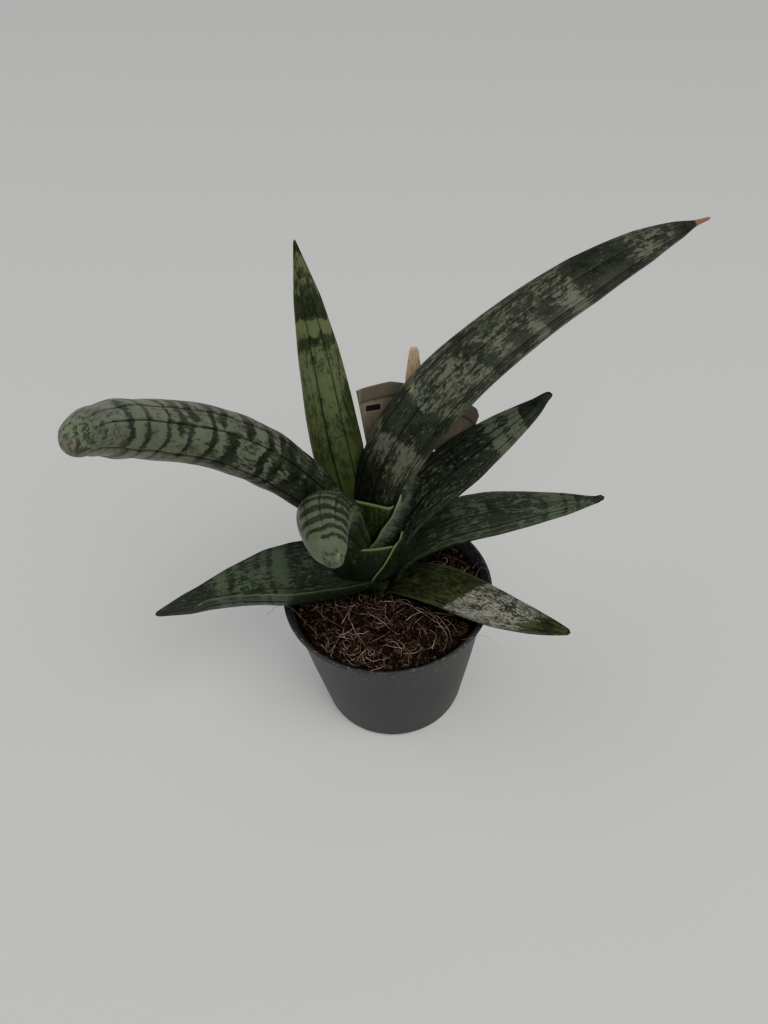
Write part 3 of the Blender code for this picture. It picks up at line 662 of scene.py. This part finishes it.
low_right = {
    "path": [(0.5, 5.5, 41), (4.4, 8.6, 50), (10.0, 10.0, 54.9), (19.1, 10.9, 59.5), (29.1, 11.8, 60.9),
             (40, 12.7, 61), (52, 13.8, 60.6), (61.2, 14.6, 60.3), (62.9, 14.5, 60.9), (63.4, 14.2, 60.2)],
    "facing": [(0, 5), (1, 5)],
    "width": [(0, 10), (0.15, 12.5), (0.3, 15), (0.42, 16.5), (0.55, 15.8), (0.7, 12), (0.85, 7), (0.945, 2.8),
              (0.96, 2.0), (1, 1.6)],
    "under": [(0, 1.5), (0.3, 4.2), (0.6, 4.4), (0.85, 2.8), (0.96, 0.8), (1, 0.7)],
    "over": [(0, 0.6), (0.2, 0.4), (0.4, 2.0), (0.6, 2.4), (0.85, 1.7), (0.96, 0.8), (1, 0.7)],
    "pull_first": [(0, (-0.5, -5, 5.4)), (0.12, (-0.3, -5, 5.4)), (0.2, (0, -2.5, 2.7)), (0.3, (0, 0, 0)),
                   (1, (0, 0, 0))],
    "grooves": [97, 105, 150, 215, 270, 325],
    "zones": [(0, 0.85), (0.3, 0.66), (0.5, 0.58), (0.6, 0.64), (0.73, 0.52), (0.74, 0.74), (0.755, 0.42),
              (0.80, 0.42), (0.82, 0.5), (0.83, 0.72), (0.845, 0.38), (0.87, 0.4), (0.88, 0.72), (0.9, 0.5),
              (0.945, 0.6), (0.955, 1.4), (1, 1.6)],
    "patches": [(0.42, 0.03, -0.12, 60, 50, 0), (0.56, 0.02, 0.12, 120, 50, 0)],
    "young": [(0, 0), (1, 0)],
    "margin": [(0, 0), (0.2, 0.1), (0.35, 0.5), (0.9, 0.15), (1, 0)],
}
DULL_WAX = (0.058, 0.077, 0.048)
dull_skin = leaf_skin("dull_leaf_skin", DULL_WAX, (0.0050, 0.0095, 0.0045), (0.030, 0.042, 0.010), 0.9, 1.3, 0.2)
# The black skin's fresh colour shows only on the base sheet below, as a pale grey-green painted sheen on its glossy
# inner face.
black_skin = leaf_skin("black_leaf_skin", (0.066, 0.080, 0.054), (0.0015, 0.0035, 0.0012), (0.125, 0.145, 0.110),
                       0.8, 1.7, 0.18)
add_piece("middle_right_leaf", leaf_mesh("middle_right_leaf", middle_right, 5.0), black_skin,
          "leaf_middle_right")
add_piece("low_right_leaf", leaf_mesh("low_right_leaf", low_right, 6.0), dull_skin, "leaf_low_right")
# This base sheet is pale near its upper edge, a painted sheen, and dark towards its foot, painted shade.
bent_sheet("middle_right_leaf_base",
           [(7.0, 8.6, 80), (5.6, 6.8, 76.3), (4, 5, 73.4), (2.4, 4.4, 69.7), (-0.5, 4, 65.3), (-2.3, 3.6, 61.7),
            (-4.4, 3.2, 59.3)],
           [(13, 16, 73), (12.2, 15, 71.5), (10.5, 13.4, 68.5), (8.4, 11, 64.5), (6, 9, 60.5), (3, 7, 56.5),
            (-1, 4.8, 53.5)],
           (), 1.0, (0.3, 0.9), black_skin, -0.3)
# Dark all over and darkest at its foot: painted shade under the low right leaf's base.
bent_sheet("low_right_leaf_base",
           [(5.1, 7.5, 60.8), (4.3, 5, 60.2), (3.1, 2.5, 60.9), (1.3, 0.8, 58.7), (-0.6, -0.2, 55.6),
            (-3.4, -0.8, 51.6), (-4.6, -0.8, 49.2)],
           [(12, 11, 54), (10.5, 9.5, 53), (8.6, 8, 51.5), (6.5, 6.5, 49.5), (4, 5, 47.5), (1, 3.5, 46),
            (-2, 1.5, 45.5)],
           (), 0.2, (0.75, 1.15), dull_skin, -0.4)

# %% [markdown]
# The low left leaf is a deep channel that lies over the pot's edge, with a pale line along each
# margin. The drooping leaf is the oldest: its outer half is grey with dried scale.

# %% Low leaves
low_left = {
    "path": [(0.5, 3.8, 42), (-5, 3.6, 48.2), (-13, 1.8, 50.6), (-25.8, -0.2, 52.4), (-34.2, -0.8, 53.3),
             (-46, -1.8, 52), (-57, -2.9, 49), (-66.3, -4.2, 46.1)],
    "facing": [(0, 188), (1, 188)],
    "width": [(0, 13), (0.1, 16), (0.25, 19.5), (0.4, 20.5), (0.52, 19), (0.68, 13.5), (0.85, 6.8), (1, 0.9)],
    "under": [(0, 2), (0.15, 5), (0.35, 7), (0.5, 7), (0.75, 5.6), (0.9, 3), (1, 0.4)],
    "over": [(0, 0.6), (0.15, -0.5), (0.35, -2.4), (0.6, -2.2), (0.78, -0.6), (0.86, 1.2), (1, 0.4)],
    "pull_first": [(0, (-5, 2, 2)), (0.05, (-2, 1, 4)), (0.1, (0.4, -0.4, 6)), (0.4, (-0.8, -0.6, 6.6)), (0.65, (0, 0.4, 4.4)),
                   (0.78, (0, 0.6, 3)), (0.84, (0, 0, 0)), (1, (0, 0, 0))],
    "pull_second": [(0, (0, -3, 6)), (0.1, (0, -4.5, 8.5)), (0.2, (-1.2, -3.6, 9)), (0.3, (-0.5, 0.6, 4.6)),
                    (0.42, (-0.5, 1.4, 3)), (0.6, (0, 0.6, 1)), (0.8, (0, 0, 0)), (1, (0, 0, 0))],
    "grooves": [52, 80, 215, 270, 310, 335],
    "zones": [(0, 0.8), (0.3, 0.66), (0.42, 0.6), (0.44, 0.38), (0.49, 0.32), (0.505, 0.66), (0.53, 0.34),
              (0.56, 0.62), (0.59, 0.42), (0.62, 0.66), (0.64, 0.42), (0.665, 0.74), (0.685, 0.38), (0.72, 0.34),
              (0.735, 0.62), (0.8, 0.72), (1, 0.8)],
    "patches": [(0.35, 0.3, 0.14, -45, 42, 0), (0.465, 0.02, -0.15, 120, 40, 0), (0.42, 0.006, 0.3, -40, 36, 0),
                (0.5, 0.006, 0.3, -40, 36, 0), (0.30, 0.006, 0.3, -40, 36, 0)],
    "young": [(0, 0.5), (0.06, 0.3), (0.14, 0), (1, 0)],
    "margin": [(0, 0), (0.15, 0.15), (0.35, 0.6), (0.5, 0.9), (0.76, 0.9), (0.82, 0.1), (1, 0)],
    "scars": [(0.80, 8, 0.6), (0.40, 60, 0.28), (0.17, 118, 0.3)],
    "dry": [(0, 0), (0.982, 0), (0.992, 0.5), (1, 0.6)],
}
drooping = {
    "path": [(0.5, 5.2, 41), (4, 3.4, 45.4), (8, 0.8, 47.6), (14.8, -3.8, 49.8), (22.7, -9.4, 50.2),
             (31, -14.8, 49.9), (40, -20.2, 50.2), (47.9, -24.8, 51)],
    "facing": [(0, -33), (1, -33)],
    "width": [(0, 10), (0.15, 13), (0.3, 14.7), (0.5, 13.8), (0.65, 12), (0.8, 8.5), (0.92, 4.6), (1, 1.2)],
    "under": [(0, 1.3), (0.3, 3), (0.6, 3.4), (0.85, 2.2), (1, 0.5)],
    "over": [(0, 0.6), (0.3, 0.4), (0.6, 1.6), (0.85, 1.6), (1, 0.5)],
    "grooves": [40, 150, 215, 325],
    "zones": [(0, 0.85), (0.2, 0.62), (0.35, 0.55), (0.5, 0.45), (0.8, 0.36), (0.86, 0.5), (1, 0.6)],
    "patches": [(0.30, 0.03, -0.15, 60, 50, 0), (0.9, 0.01, 0.3, 90, 90, 0)],
    "young": [(0, 0.2), (0.1, 0), (1, 0)],
    "margin": [(0, 0.3), (0.1, 0.8), (0.45, 0.8), (0.6, 0.3), (1, 0.2)],
    "scale": [(0, 0), (0.45, 0), (0.51, 0.75), (0.76, 0.66), (0.88, 0.3), (0.94, 0), (1, 0)],
    "scale_slant": 0.06,
    "wobble": 0.03,
}
add_piece("low_left_leaf", leaf_mesh("low_left_leaf", low_left, 7.0), dull_skin, "leaf_low_left")
bent_sheet("low_left_leaf_base",
           [(-14.5, 2.5, 62.5), (-10.8, -1, 65.2), (-7.2, -1, 64.1), (-4.3, -0.2, 62.8), (-1.1, 0.8, 61.8),
            (2.1, 2.5, 60.4), (3.9, 4.5, 58.4)],
           [(-14, 2.5, 49), (-12, 1, 48.2), (-7.7, 0, 48.6), (-4, 0.3, 48.2), (-0.9, 1.2, 47.8), (1.2, 2.6, 47.6),
            (3, 4.4, 47)],
           (), 0.25, (0.72, 0.95), dull_skin, 0.3)
olive_skin = leaf_skin("olive_leaf_skin", (0.034, 0.042, 0.014), (0.0020, 0.0045, 0.0010), FRESH_BASE, 1.0, 1.6, 0.24)
add_piece("drooping_leaf", leaf_mesh("drooping_leaf", drooping, 8.0), olive_skin, "leaf_drooping")

# %% [markdown]
# The pot is a thin plastic cup. Its half profile runs from the middle of the floor up the outside,
# over the turned-out lip and down the inside, and spinning that line round the axis makes the wall.
# The drain holes are cut through the floor afterwards with small drills.

# %% Pot
POT_PROFILE = [(0, 0), (12, 0), (18.9, 0), (20.0, 0.3), (20.75, 1.0), (21.1, 2.2), (24.7, 22), (28.1, 42.4),
               (28.45, 43.9), (28.7, 44.35), (29.6, 44.5), (29.9, 44.65), (30.0, 44.95), (29.97, 45.3),
               (29.75, 45.52), (29.4, 45.6), (29.05, 45.5), (28.85, 45.2), (28.5, 44.5), (27.75, 43.4),
               (27.35, 42), (23.9, 22), (20.2, 2.6), (19.4, 1.6), (18.2, 1.2), (12, 1.2), (0, 1.2)]
POT_TURNS = 128
DRAIN_HOLES = 5
DRAIN_HOLE_RADIUS = 2.4
DRAIN_CIRCLE = 12.5
STAINS = [((5.6, -22.8, 17.2), 0.55), ((6.1, -22.9, 18.0), 0.35), ((-1.6, -24.0, 19.2), 0.25)]


def pot_mesh():
    shape = bmesh.new()
    line = [shape.verts.new((radius * MM, 0, height * MM)) for radius, height in POT_PROFILE]
    edges = [shape.edges.new(pair) for pair in zip(line, line[1:])]
    bmesh.ops.spin(shape, geom=line + edges, axis=(0, 0, 1), cent=(0, 0, 0), steps=POT_TURNS,
                   angle=math.tau, use_merge=True)
    bmesh.ops.remove_doubles(shape, verts=shape.verts, dist=0.00002)
    return to_mesh("nursery_pot", shape)


def drill_holes(mesh):
    """Cuts the drain holes and gives back the finished mesh."""
    cup = bpy.data.objects.new("uncut_pot", mesh)
    bpy.context.scene.collection.objects.link(cup)
    drills = bmesh.new()
    for hole in range(DRAIN_HOLES):
        angle = math.tau * hole / DRAIN_HOLES
        place = Vector((math.cos(angle), math.sin(angle), 0)) * DRAIN_CIRCLE * MM
        bmesh.ops.create_cone(drills, cap_ends=True, segments=32, radius1=DRAIN_HOLE_RADIUS * MM,
                              radius2=DRAIN_HOLE_RADIUS * MM, depth=5 * MM, matrix=Matrix.Translation(place))
    cutter = bpy.data.objects.new("drain_drills", to_mesh("drain_drills", drills))
    bpy.context.scene.collection.objects.link(cutter)
    boolean = cup.modifiers.new("holes", "BOOLEAN")
    boolean.operation = "DIFFERENCE"
    boolean.solver = "EXACT"
    boolean.object = cutter
    bpy.context.view_layer.update()
    cut = bpy.data.meshes.new_from_object(cup.evaluated_get(bpy.context.evaluated_depsgraph_get()))
    cut.name = "nursery_pot"
    bpy.data.objects.remove(cup, do_unlink=True)
    bpy.data.objects.remove(cutter, do_unlink=True)
    cut.materials.clear()
    cut.set_sharp_from_angle(angle=math.radians(40))
    return cut


def pot_plastic():
    """Dull dark grey plastic, with pale dust under the lip and a few scuffs on the wall."""
    paint = Paint("pot_plastic", 0.5, 0.2)
    height = paint.add("ShaderNodeSeparateXYZ")
    paint.feed(height.inputs[0], paint.place)
    near_lip = paint.switch(height.outputs[2], 0.030, 0.0435)
    smears = paint.noise(1.6, 5.0, 0.75, (1, 1, 2.6))
    dust = paint.sum("MULTIPLY", near_lip, paint.switch(smears, 0.55, 0.64))
    scuffs = paint.switch(paint.noise(3.2, 3.0, 0.6, (0.5, 0.5, 4)), 0.66, 0.72)
    clouds = paint.noise(14.0, 3.0, 0.6)
    body = paint.mix(clouds, (0.018, 0.0187, 0.0192), (0.025, 0.026, 0.0265))
    body = paint.mix(paint.sum("MULTIPLY", scuffs, 0.3), body, (0.08, 0.08, 0.08))
    body = paint.mix(paint.sum("MULTIPLY", dust, 0.6), body, (0.15, 0.145, 0.13))
    for place, reach in STAINS:
        stain = paint.add("ShaderNodeVectorMath")
        stain.operation = "DISTANCE"
        paint.feed(stain.inputs[0], paint.place)
        stain.inputs[1].default_value = Vector(place) * MM
        near = paint.sum("ADD", stain.outputs["Value"], paint.sum("MULTIPLY", smears, 0.0012))
        body = paint.mix(paint.switch(near, (reach + 0.6) * MM, (reach + 0.3) * MM), body, (0.008, 0.008, 0.008))
    return paint.finish(body, paint.noise(0.5, 2.0), 0.08, 0.1)


pot = add_piece("nursery_pot", drill_holes(pot_mesh()), pot_plastic(), "pot")
print("pot", len(pot.data.polygons), "faces")

# %% [markdown]
# The soil is coir: a dark lumpy ground, thousands of crumbs and slivers, and fibres that curl up out
# of it. The ground is a ball pressed into the pot's shape, with its top raised and dented by noise.
# Crumbs and slivers are many tiny simple shapes in one mesh, and each carries its own tone.

# %% Soil
SOIL_LEVEL = 42.3
SOIL_RADIUS = 27.2
SOIL_OUTLINE = [(0, 0, 0), (0.72, 26.7, -0.3), (0.75, 27.15, -1.0), (0.93, 20.2, -38), (0.955, 18, -40.2), (1, 0, -40.2)]
SOIL_SIDES = 210
SOIL_RINGS = 120
CRUMBS = 2200
SLIVERS = 420


def soil_height(x, y):
    """The soil's height in millimetres over a place given in millimetres."""
    far = math.hypot(x, y) / SOIL_RADIUS
    broad = noise.noise(Vector((x * 0.11, y * 0.11, 3.0)))
    lumps = noise.noise(Vector((x * 0.38, y * 0.38, 7.0)))
    grit = noise.noise(Vector((x * 1.15, y * 1.15, 11.0)))
    return SOIL_LEVEL + 0.5 * (1 - far * far) + 0.8 * broad + 0.85 * lumps + 0.45 * grit


def soil_mesh():
    shape = bmesh.new()
    bmesh.ops.create_uvsphere(shape, u_segments=SOIL_SIDES, v_segments=SOIL_RINGS, radius=1)
    spots = [row[0] for row in SOIL_OUTLINE]
    for vertex in shape.verts:
        x, y, z = vertex.co
        down = math.acos(max(-1.0, min(1.0, z))) / math.pi
        radius = float(np.interp(down, spots, [row[1] for row in SOIL_OUTLINE]))
        drop = float(np.interp(down, spots, [row[2] for row in SOIL_OUTLINE]))
        turn = math.atan2(y, x)
        x, y = radius * math.cos(turn), radius * math.sin(turn)
        height = soil_height(x, y) if down < 0.73 else SOIL_LEVEL
        vertex.co = Vector((x, y, height + drop)) * MM
    return to_mesh("coir_ground", shape)


def crumb_mesh():
    dice = np.random.default_rng(11)
    shape = bmesh.new()
    tone = shape.verts.layers.float_vector.new("crumb_marks")
    for number in range(CRUMBS + SLIVERS):
        reach = (SOIL_RADIUS - 0.9) * math.sqrt(dice.random())
        turn = dice.uniform(0, math.tau)
        x, y = reach * math.cos(turn), reach * math.sin(turn)
        sliver = number >= CRUMBS
        if sliver:
            size = Vector((dice.uniform(1.2, 3.6), dice.uniform(0.25, 0.6), dice.uniform(0.1, 0.25)))
        else:
            size = Vector([dice.uniform(0.2, 0.75) for _ in range(3)])
        lean = Matrix.Rotation(dice.uniform(-0.5, 0.5), 4, "Y") @ Matrix.Rotation(dice.uniform(-0.5, 0.5), 4, "X")
        spin = Matrix.Rotation(dice.uniform(0, math.tau), 4, "Z") @ lean
        lift = soil_height(x, y) + dice.uniform(-0.1, 0.35) + (0.2 if sliver else 0)
        matrix = Matrix.Translation(Vector((x, y, lift)) * MM) @ spin @ Matrix.Diagonal((*(size * MM), 1))
        if sliver:
            made = bmesh.ops.create_cube(shape, size=1, matrix=matrix)
        else:
            made = bmesh.ops.create_icosphere(shape, subdivisions=1, radius=1, matrix=matrix)
        colour = dice.random()
        for vertex in made["verts"]:
            vertex[tone] = (colour, dice.random(), 0)
    return to_mesh("coir_crumbs", shape, smooth=False)


def coir_material(name, dark, red, tan, marked):
    paint = Paint(name, 0.95, 0.03)
    coarse = paint.noise(3.0, 4.0, 0.7)
    fine = paint.noise(0.5, 3.0, 0.7)
    body = paint.mix(paint.switch(coarse, 0.38, 0.62), dark, red)
    if marked:
        tone = paint.marks("crumb_marks")[0]
        body = paint.mix(paint.switch(tone, 0.5, 1.05), body, tan)
    body = paint.mix(paint.sum("MULTIPLY", paint.switch(fine, 0.45, 0.75), 0.45), body, tan)
    body = paint.mix(paint.sum("MULTIPLY", paint.switch(fine, 0.5, 0.3), 0.6), body, dark)
    return paint.finish(body, fine, 0.8, 0.4)


SOIL_DARK = (0.0018, 0.0012, 0.0010)
SOIL_RED = (0.0135, 0.0062, 0.0042)
SOIL_TAN = (0.070, 0.044, 0.031)
ground = add_piece("coir_ground", soil_mesh(), coir_material("coir_ground", SOIL_DARK, SOIL_RED, SOIL_TAN, False),
                   "soil")
crumbs = add_piece("coir_crumbs", crumb_mesh(), coir_material("coir_crumbs", SOIL_DARK, SOIL_RED, SOIL_TAN, True),
                   None)
print("ground", len(ground.data.polygons), "faces, crumbs", len(crumbs.data.polygons), "faces")

# %% [markdown]
# Fibres are curves given a round thickness. Most are short, brown and lie about at random, found by a
# wandering walk from a seeded start. The long pale ones that catch the eye are placed one by one, and a
# few of those poke out over the pot's lip.

# %% Fibres
SHORT_FIBRES = 520
PALE_FIBRES = 150
FIBRE_STEPS = 8
LONG_FIBRES = [
    [(-11, -4.5), (-11.4, -8.5), (-10.2, -13), (-8, -17.5), (-5.2, -21.5)],
    [(-2.2, -3), (3.5, -4), (9.5, -9.5), (13.8, -13), (15.6, -17.5), (14, -21.5)],
    [(2.6, -3.6), (7, -6.6), (12.6, -10.4), (14.5, -14)],
    [(4.5, -10.8), (8.2, -8.6), (12.5, -9.8), (16, -14.8), (16.6, -19)],
    [(9.6, -6.2), (13.5, -9.5), (19.5, -9)],
    [(-0.5, -3.5), (-1.8, -6.5), (-4, -5.2)],
    [(-6.2, -6.5), (-3, -10), (0.3, -14.2), (3.4, -16)],
    [(-2, -7.4), (0.2, -11.6)],
    [(-13.6, -9.8), (-9.5, -3.2)],
    [(-20.5, -4.2), (-17.5, -8.6), (-13.2, -11.8)],
    [(-15.4, -14.4), (-10.5, -16.4), (-9, -14)],
    [(-19.5, -16.5), (-17.5, -19.6), (-15.5, -17.6), (-17, -20.6)],
    [(-14.5, -19.5), (-11.2, -21.8), (-8.6, -19.4)],
    [(3, -21.5), (6.5, -22.4), (8.5, -20.2), (7, -23.4)],
    [(11, -20.5), (12.5, -17), (10.8, -14.5)],
    [(-24.5, -8), (-20.4, -13.5)],
    [(-7.5, -22), (-4.6, -24.4), (-1, -22.6)],
    [(18.5, -7.5), (22, -5.2), (25, -2)],
    [(19.6, 7), (21.8, 5.2), (24.5, 7.4)],
]
LIP_FIBRES = [
    [(-34.6, -6.4, 45.2), (-31.2, -4.6, 46.6), (-27.5, -5.0, 45.6), (-24.5, -7.8, 43.6)],
    [(22.5, -18, 43.4), (25, -19.4, 45.6), (27, -21.4, 46.4), (28.8, -23.6, 45.6)],
    [(-20.5, -19.5, 43.4), (-21.4, -20.6, 45.8), (-20.6, -21.4, 46.2)],
    [(-3.5, -26, 43.2), (-2.8, -27.6, 45.8), (-4.2, -28.6, 46.6), (-6.2, -28.8, 46.2)],
    [(2.4, -26.2, 43.4), (3, -27.4, 45.8), (4.4, -28, 46.3)],
    [(19.4, -18.8, 43.6), (20.6, -20.2, 45.6), (22.6, -20.4, 46.2)],
    [(25.2, 6.6, 43.6), (27, 6.8, 46), (28.6, 5, 47)],
    [(25.8, 3.6, 43.8), (27.4, 4.4, 46.2), (29.2, 3, 46.6)],
]


def lay_fibre(curve, points, thick):
    spline = curve.splines.new("POLY")
    spline.points.add(len(points) - 1)
    for index, (point, place) in enumerate(zip(spline.points, points)):
        point.co = (*(float(value) * MM for value in place), 1)
        point.radius = thick * (1 - 0.55 * index / len(points))


def new_fibres(name, thickness):
    curve = bpy.data.curves.new(name, "CURVE")
    curve.dimensions = "3D"
    curve.bevel_depth = thickness * MM
    curve.bevel_resolution = 0
    curve.use_fill_caps = True
    return curve


def wander(curve, count, dice, length, rise):
    """Lays fibres that start anywhere on the soil and turn a little at every step."""
    for _ in range(count):
        reach = (SOIL_RADIUS - 1.2) * math.sqrt(dice.random())
        turn = dice.uniform(0, math.tau)
        x, y = reach * math.cos(turn), reach * math.sin(turn)
        heading = dice.uniform(0, math.tau)
        bend = dice.normal(0, 0.35)
        step = dice.uniform(0.35, 1) * length / FIBRE_STEPS
        arch = dice.uniform(0.1, 1) * rise
        points = []
        for index in range(FIBRE_STEPS + 1):
            if math.hypot(x, y) > SOIL_RADIUS - 0.6:
                break
            high = soil_height(x, y) + 0.15 + arch * math.sin(math.pi * (index + 0.5) / (FIBRE_STEPS + 1))
            points.append((x, y, high))
            heading += bend + dice.normal(0, 0.22)
            x += step * math.cos(heading)
            y += step * math.sin(heading)
        if len(points) > 2:
            lay_fibre(curve, points, dice.uniform(0.6, 1.2))


def fibre_material(name, first, second):
    paint = Paint(name, 0.8, 0.1)
    return paint.finish(paint.mix(paint.switch(paint.noise(4.0, 2.0), 0.35, 0.65), first, second))


def add_fibres(curve, material):
    fibres = bpy.data.objects.new(curve.name, curve)
    bpy.context.scene.collection.objects.link(fibres)
    curve.materials.append(material)
    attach(fibres, "root")


dice = np.random.default_rng(5)
brown = new_fibres("brown_fibres", 0.085)
wander(brown, SHORT_FIBRES, dice, 6.5, 1.3)
add_fibres(brown, fibre_material("brown_fibre", (0.036, 0.018, 0.012), (0.120, 0.082, 0.062)))
pale = new_fibres("pale_fibres", 0.075)
wander(pale, PALE_FIBRES, dice, 9.0, 1.8)
for track in LONG_FIBRES:
    fine = smooth_path([(x, y, 0) for x, y in track], 16) / MM
    lay_fibre(pale, [(x, y, soil_height(x, y) + 0.5 + 1.1 * math.sin(math.pi * k / 15))
                     for k, (x, y, _) in enumerate(fine)], 1.25)
for track in LIP_FIBRES:
    lay_fibre(pale, smooth_path(track, 10) / MM, 1.1)
add_fibres(pale, fibre_material("pale_fibre", (0.14, 0.095, 0.068), (0.34, 0.27, 0.21)))
print("fibres", len(brown.splines), "brown and", len(pale.splines), "pale")

# %% [markdown]
# The crown is the short stem that all leaves grow from. It lies in the soil between their bases, so
# its plain shape is right already, and it only gets a fleshy finish.

# %% Crown


def crown_flesh():
    paint = Paint("crown_flesh", 0.55, 0.25)
    rings = paint.noise(2.0, 3.0, 0.6, (1, 1, 3))
    body = paint.mix(paint.switch(rings, 0.4, 0.65), (0.045, 0.055, 0.018), (0.095, 0.105, 0.04))
    return paint.finish(body, paint.noise(0.6, 2.0), 0.3, 0.2)


crown = bpy.data.objects["crown"]
crown.data.materials.clear()
crown.data.materials.append(crown_flesh())
print("crown", len(crown.data.polygons), "faces")

# %% [markdown]
# Behind the leaves a wooden stick carries the label. The stick narrows towards its blunt top. The
# label is thin brown board, bent forward at both sides, with a darker folded strip along its top and a
# plain dark bar. Both are flat sheets laid out in the stick's own directions and then made thick.

# %% Stake and label
STAKE_FOOT = Vector((6.4, 16.5, 14.0))
STAKE_TOP = Vector((12.3, 36.0, 102.6))
STAKE_HALF = [(0, 0.5), (0.8, 2.5), (7, 2.5), (70, 2.5), (82, 2.3), (89.8, 1.35), (90.7, 1.15), (90.9, 0.9)]
STAKE_THICKNESS = 1.6
LABEL_TOP = [(-16.3, -10.0), (-14.7, -9.6), (-6.8, -8.7), (-3.6, -9.4), (5.3, -12.4), (14.4, -15.0),
             (16.2, -15.6), (17.3, -16.6), (17.7, -18.4)]
LABEL_FOOT = -31.0
LABEL_NARROWING = 0.2
LABEL_CLEAR = 1.4
LABEL_THICKNESS = 0.45
LABEL_BEND = 80.0
LABEL_STRIP = 4.2
LABEL_BAR = (-13.7, -9.6, -17.1, -15.3)

stake_up = (STAKE_TOP - STAKE_FOOT).normalized()
stake_across = Vector((0, 1, 0)).cross(stake_up).normalized()
stake_front = stake_across.cross(stake_up)


def stake_mesh():
    shape = bmesh.new()
    bmesh.ops.create_grid(shape, x_segments=4, y_segments=90, size=0.5)
    length = (STAKE_TOP - STAKE_FOOT).length
    for vertex in shape.verts:
        high = (vertex.co.y + 0.5) * length
        half = float(np.interp(high, [row[0] for row in STAKE_HALF], [row[1] for row in STAKE_HALF]))
        vertex.co = (STAKE_FOOT + stake_up * high + stake_across * (vertex.co.x * 2 * half - 0.25)) * MM
    return to_mesh("label_stick", shape)


def label_mesh():
    shape = bmesh.new()
    bmesh.ops.create_grid(shape, x_segments=60, y_segments=44, size=0.5)
    marks = shape.verts.layers.float_vector.new("label_marks")
    left, right = LABEL_TOP[0][0], LABEL_TOP[-1][0]
    for vertex in shape.verts:
        side = left + (vertex.co.x + 0.5) * (right - left)
        down = 0.5 - vertex.co.y
        top = float(np.interp(side, [row[0] for row in LABEL_TOP], [row[1] for row in LABEL_TOP]))
        high = top + (LABEL_FOOT - top) * down
        side *= 1 - LABEL_NARROWING * down
        strip = max(0.0, min(1.0, (high - (top - LABEL_STRIP)) * 3 + 0.5))
        forward = LABEL_CLEAR + side * side / LABEL_BEND + 0.5 * strip
        place = STAKE_TOP + stake_across * side + stake_up * high + stake_front * forward
        vertex.co = place * MM
        vertex[marks] = (strip, side, high)
    return to_mesh("label_board", shape)


def stick_wood():
    paint = Paint("stick_wood", 0.75, 0.2)
    grain = paint.noise(0.55, 4.0, 0.65, (1, 1, 0.06))
    blotch = paint.noise(3.0, 3.0)
    body = paint.mix(paint.switch(grain, 0.35, 0.68), (0.40, 0.315, 0.20), (0.27, 0.19, 0.105))
    body = paint.mix(paint.sum("MULTIPLY", paint.switch(blotch, 0.5, 0.75), 0.4), body, (0.33, 0.17, 0.10))
    return paint.finish(body, grain, 0.4, 0.2)


def label_paper():
    paint = Paint("label_paper", 0.85, 0.1)
    strip, side, high = paint.marks("label_marks")

    def inside(value, low, top, soft):
        return paint.sum("MULTIPLY", paint.switch(value, low - soft, low + soft),
                         paint.switch(value, top + soft, top - soft))

    left, right, foot, top = LABEL_BAR
    frame_line = paint.sum("MULTIPLY", inside(side, left - 0.5, right + 0.5, 0.15),
                           inside(high, foot - 0.5, top + 0.5, 0.15))
    bar = paint.sum("MULTIPLY", inside(side, left, right, 0.15), inside(high, foot, top, 0.15))
    flap = paint.switch(side, 13.2, 13.7)
    light_edge = inside(side, -15.6, -15.2, 0.12)
    fibre = paint.noise(1.2, 4.0, 0.7, (1, 1, 0.5))
    fine = paint.noise(0.3, 2.0, 0.6)
    body = paint.mix(paint.switch(fibre, 0.3, 0.7), (0.112, 0.096, 0.068), (0.158, 0.136, 0.100))
    body = paint.mix(paint.sum("MULTIPLY", strip, 0.7), body, (0.066, 0.058, 0.038))
    body = paint.mix(paint.sum("MULTIPLY", flap, 0.35), body, (0.075, 0.062, 0.052))
    body = paint.mix(paint.sum("MULTIPLY", fine, 0.2), body, (0.19, 0.165, 0.145))
    body = paint.mix(paint.sum("MULTIPLY", light_edge, 0.35), body, (0.26, 0.24, 0.19))
    body = paint.mix(paint.sum("MULTIPLY", frame_line, 0.35), body, (0.22, 0.20, 0.16))
    body = paint.mix(bar, body, (0.010, 0.009, 0.009))
    return paint.finish(body, fibre, 0.25, 0.2)


stick = add_piece("label_stick", stake_mesh(), stick_wood(), "label_stake")
label = add_piece("label_board", label_mesh(), label_paper(), "label_card")
for piece, thick in ((stick, STAKE_THICKNESS), (label, LABEL_THICKNESS)):
    wall = piece.modifiers.new("thickness", "SOLIDIFY")
    wall.thickness = thick * MM
    wall.offset = 0
    edge = piece.modifiers.new("soft_edges", "BEVEL")
    edge.width = 0.22 * thick * MM
    edge.segments = 2
    edge.limit_method = "ANGLE"
    edge.angle_limit = math.radians(60)
print("stick", len(stick.data.polygons), "faces, label", len(label.data.polygons), "faces")
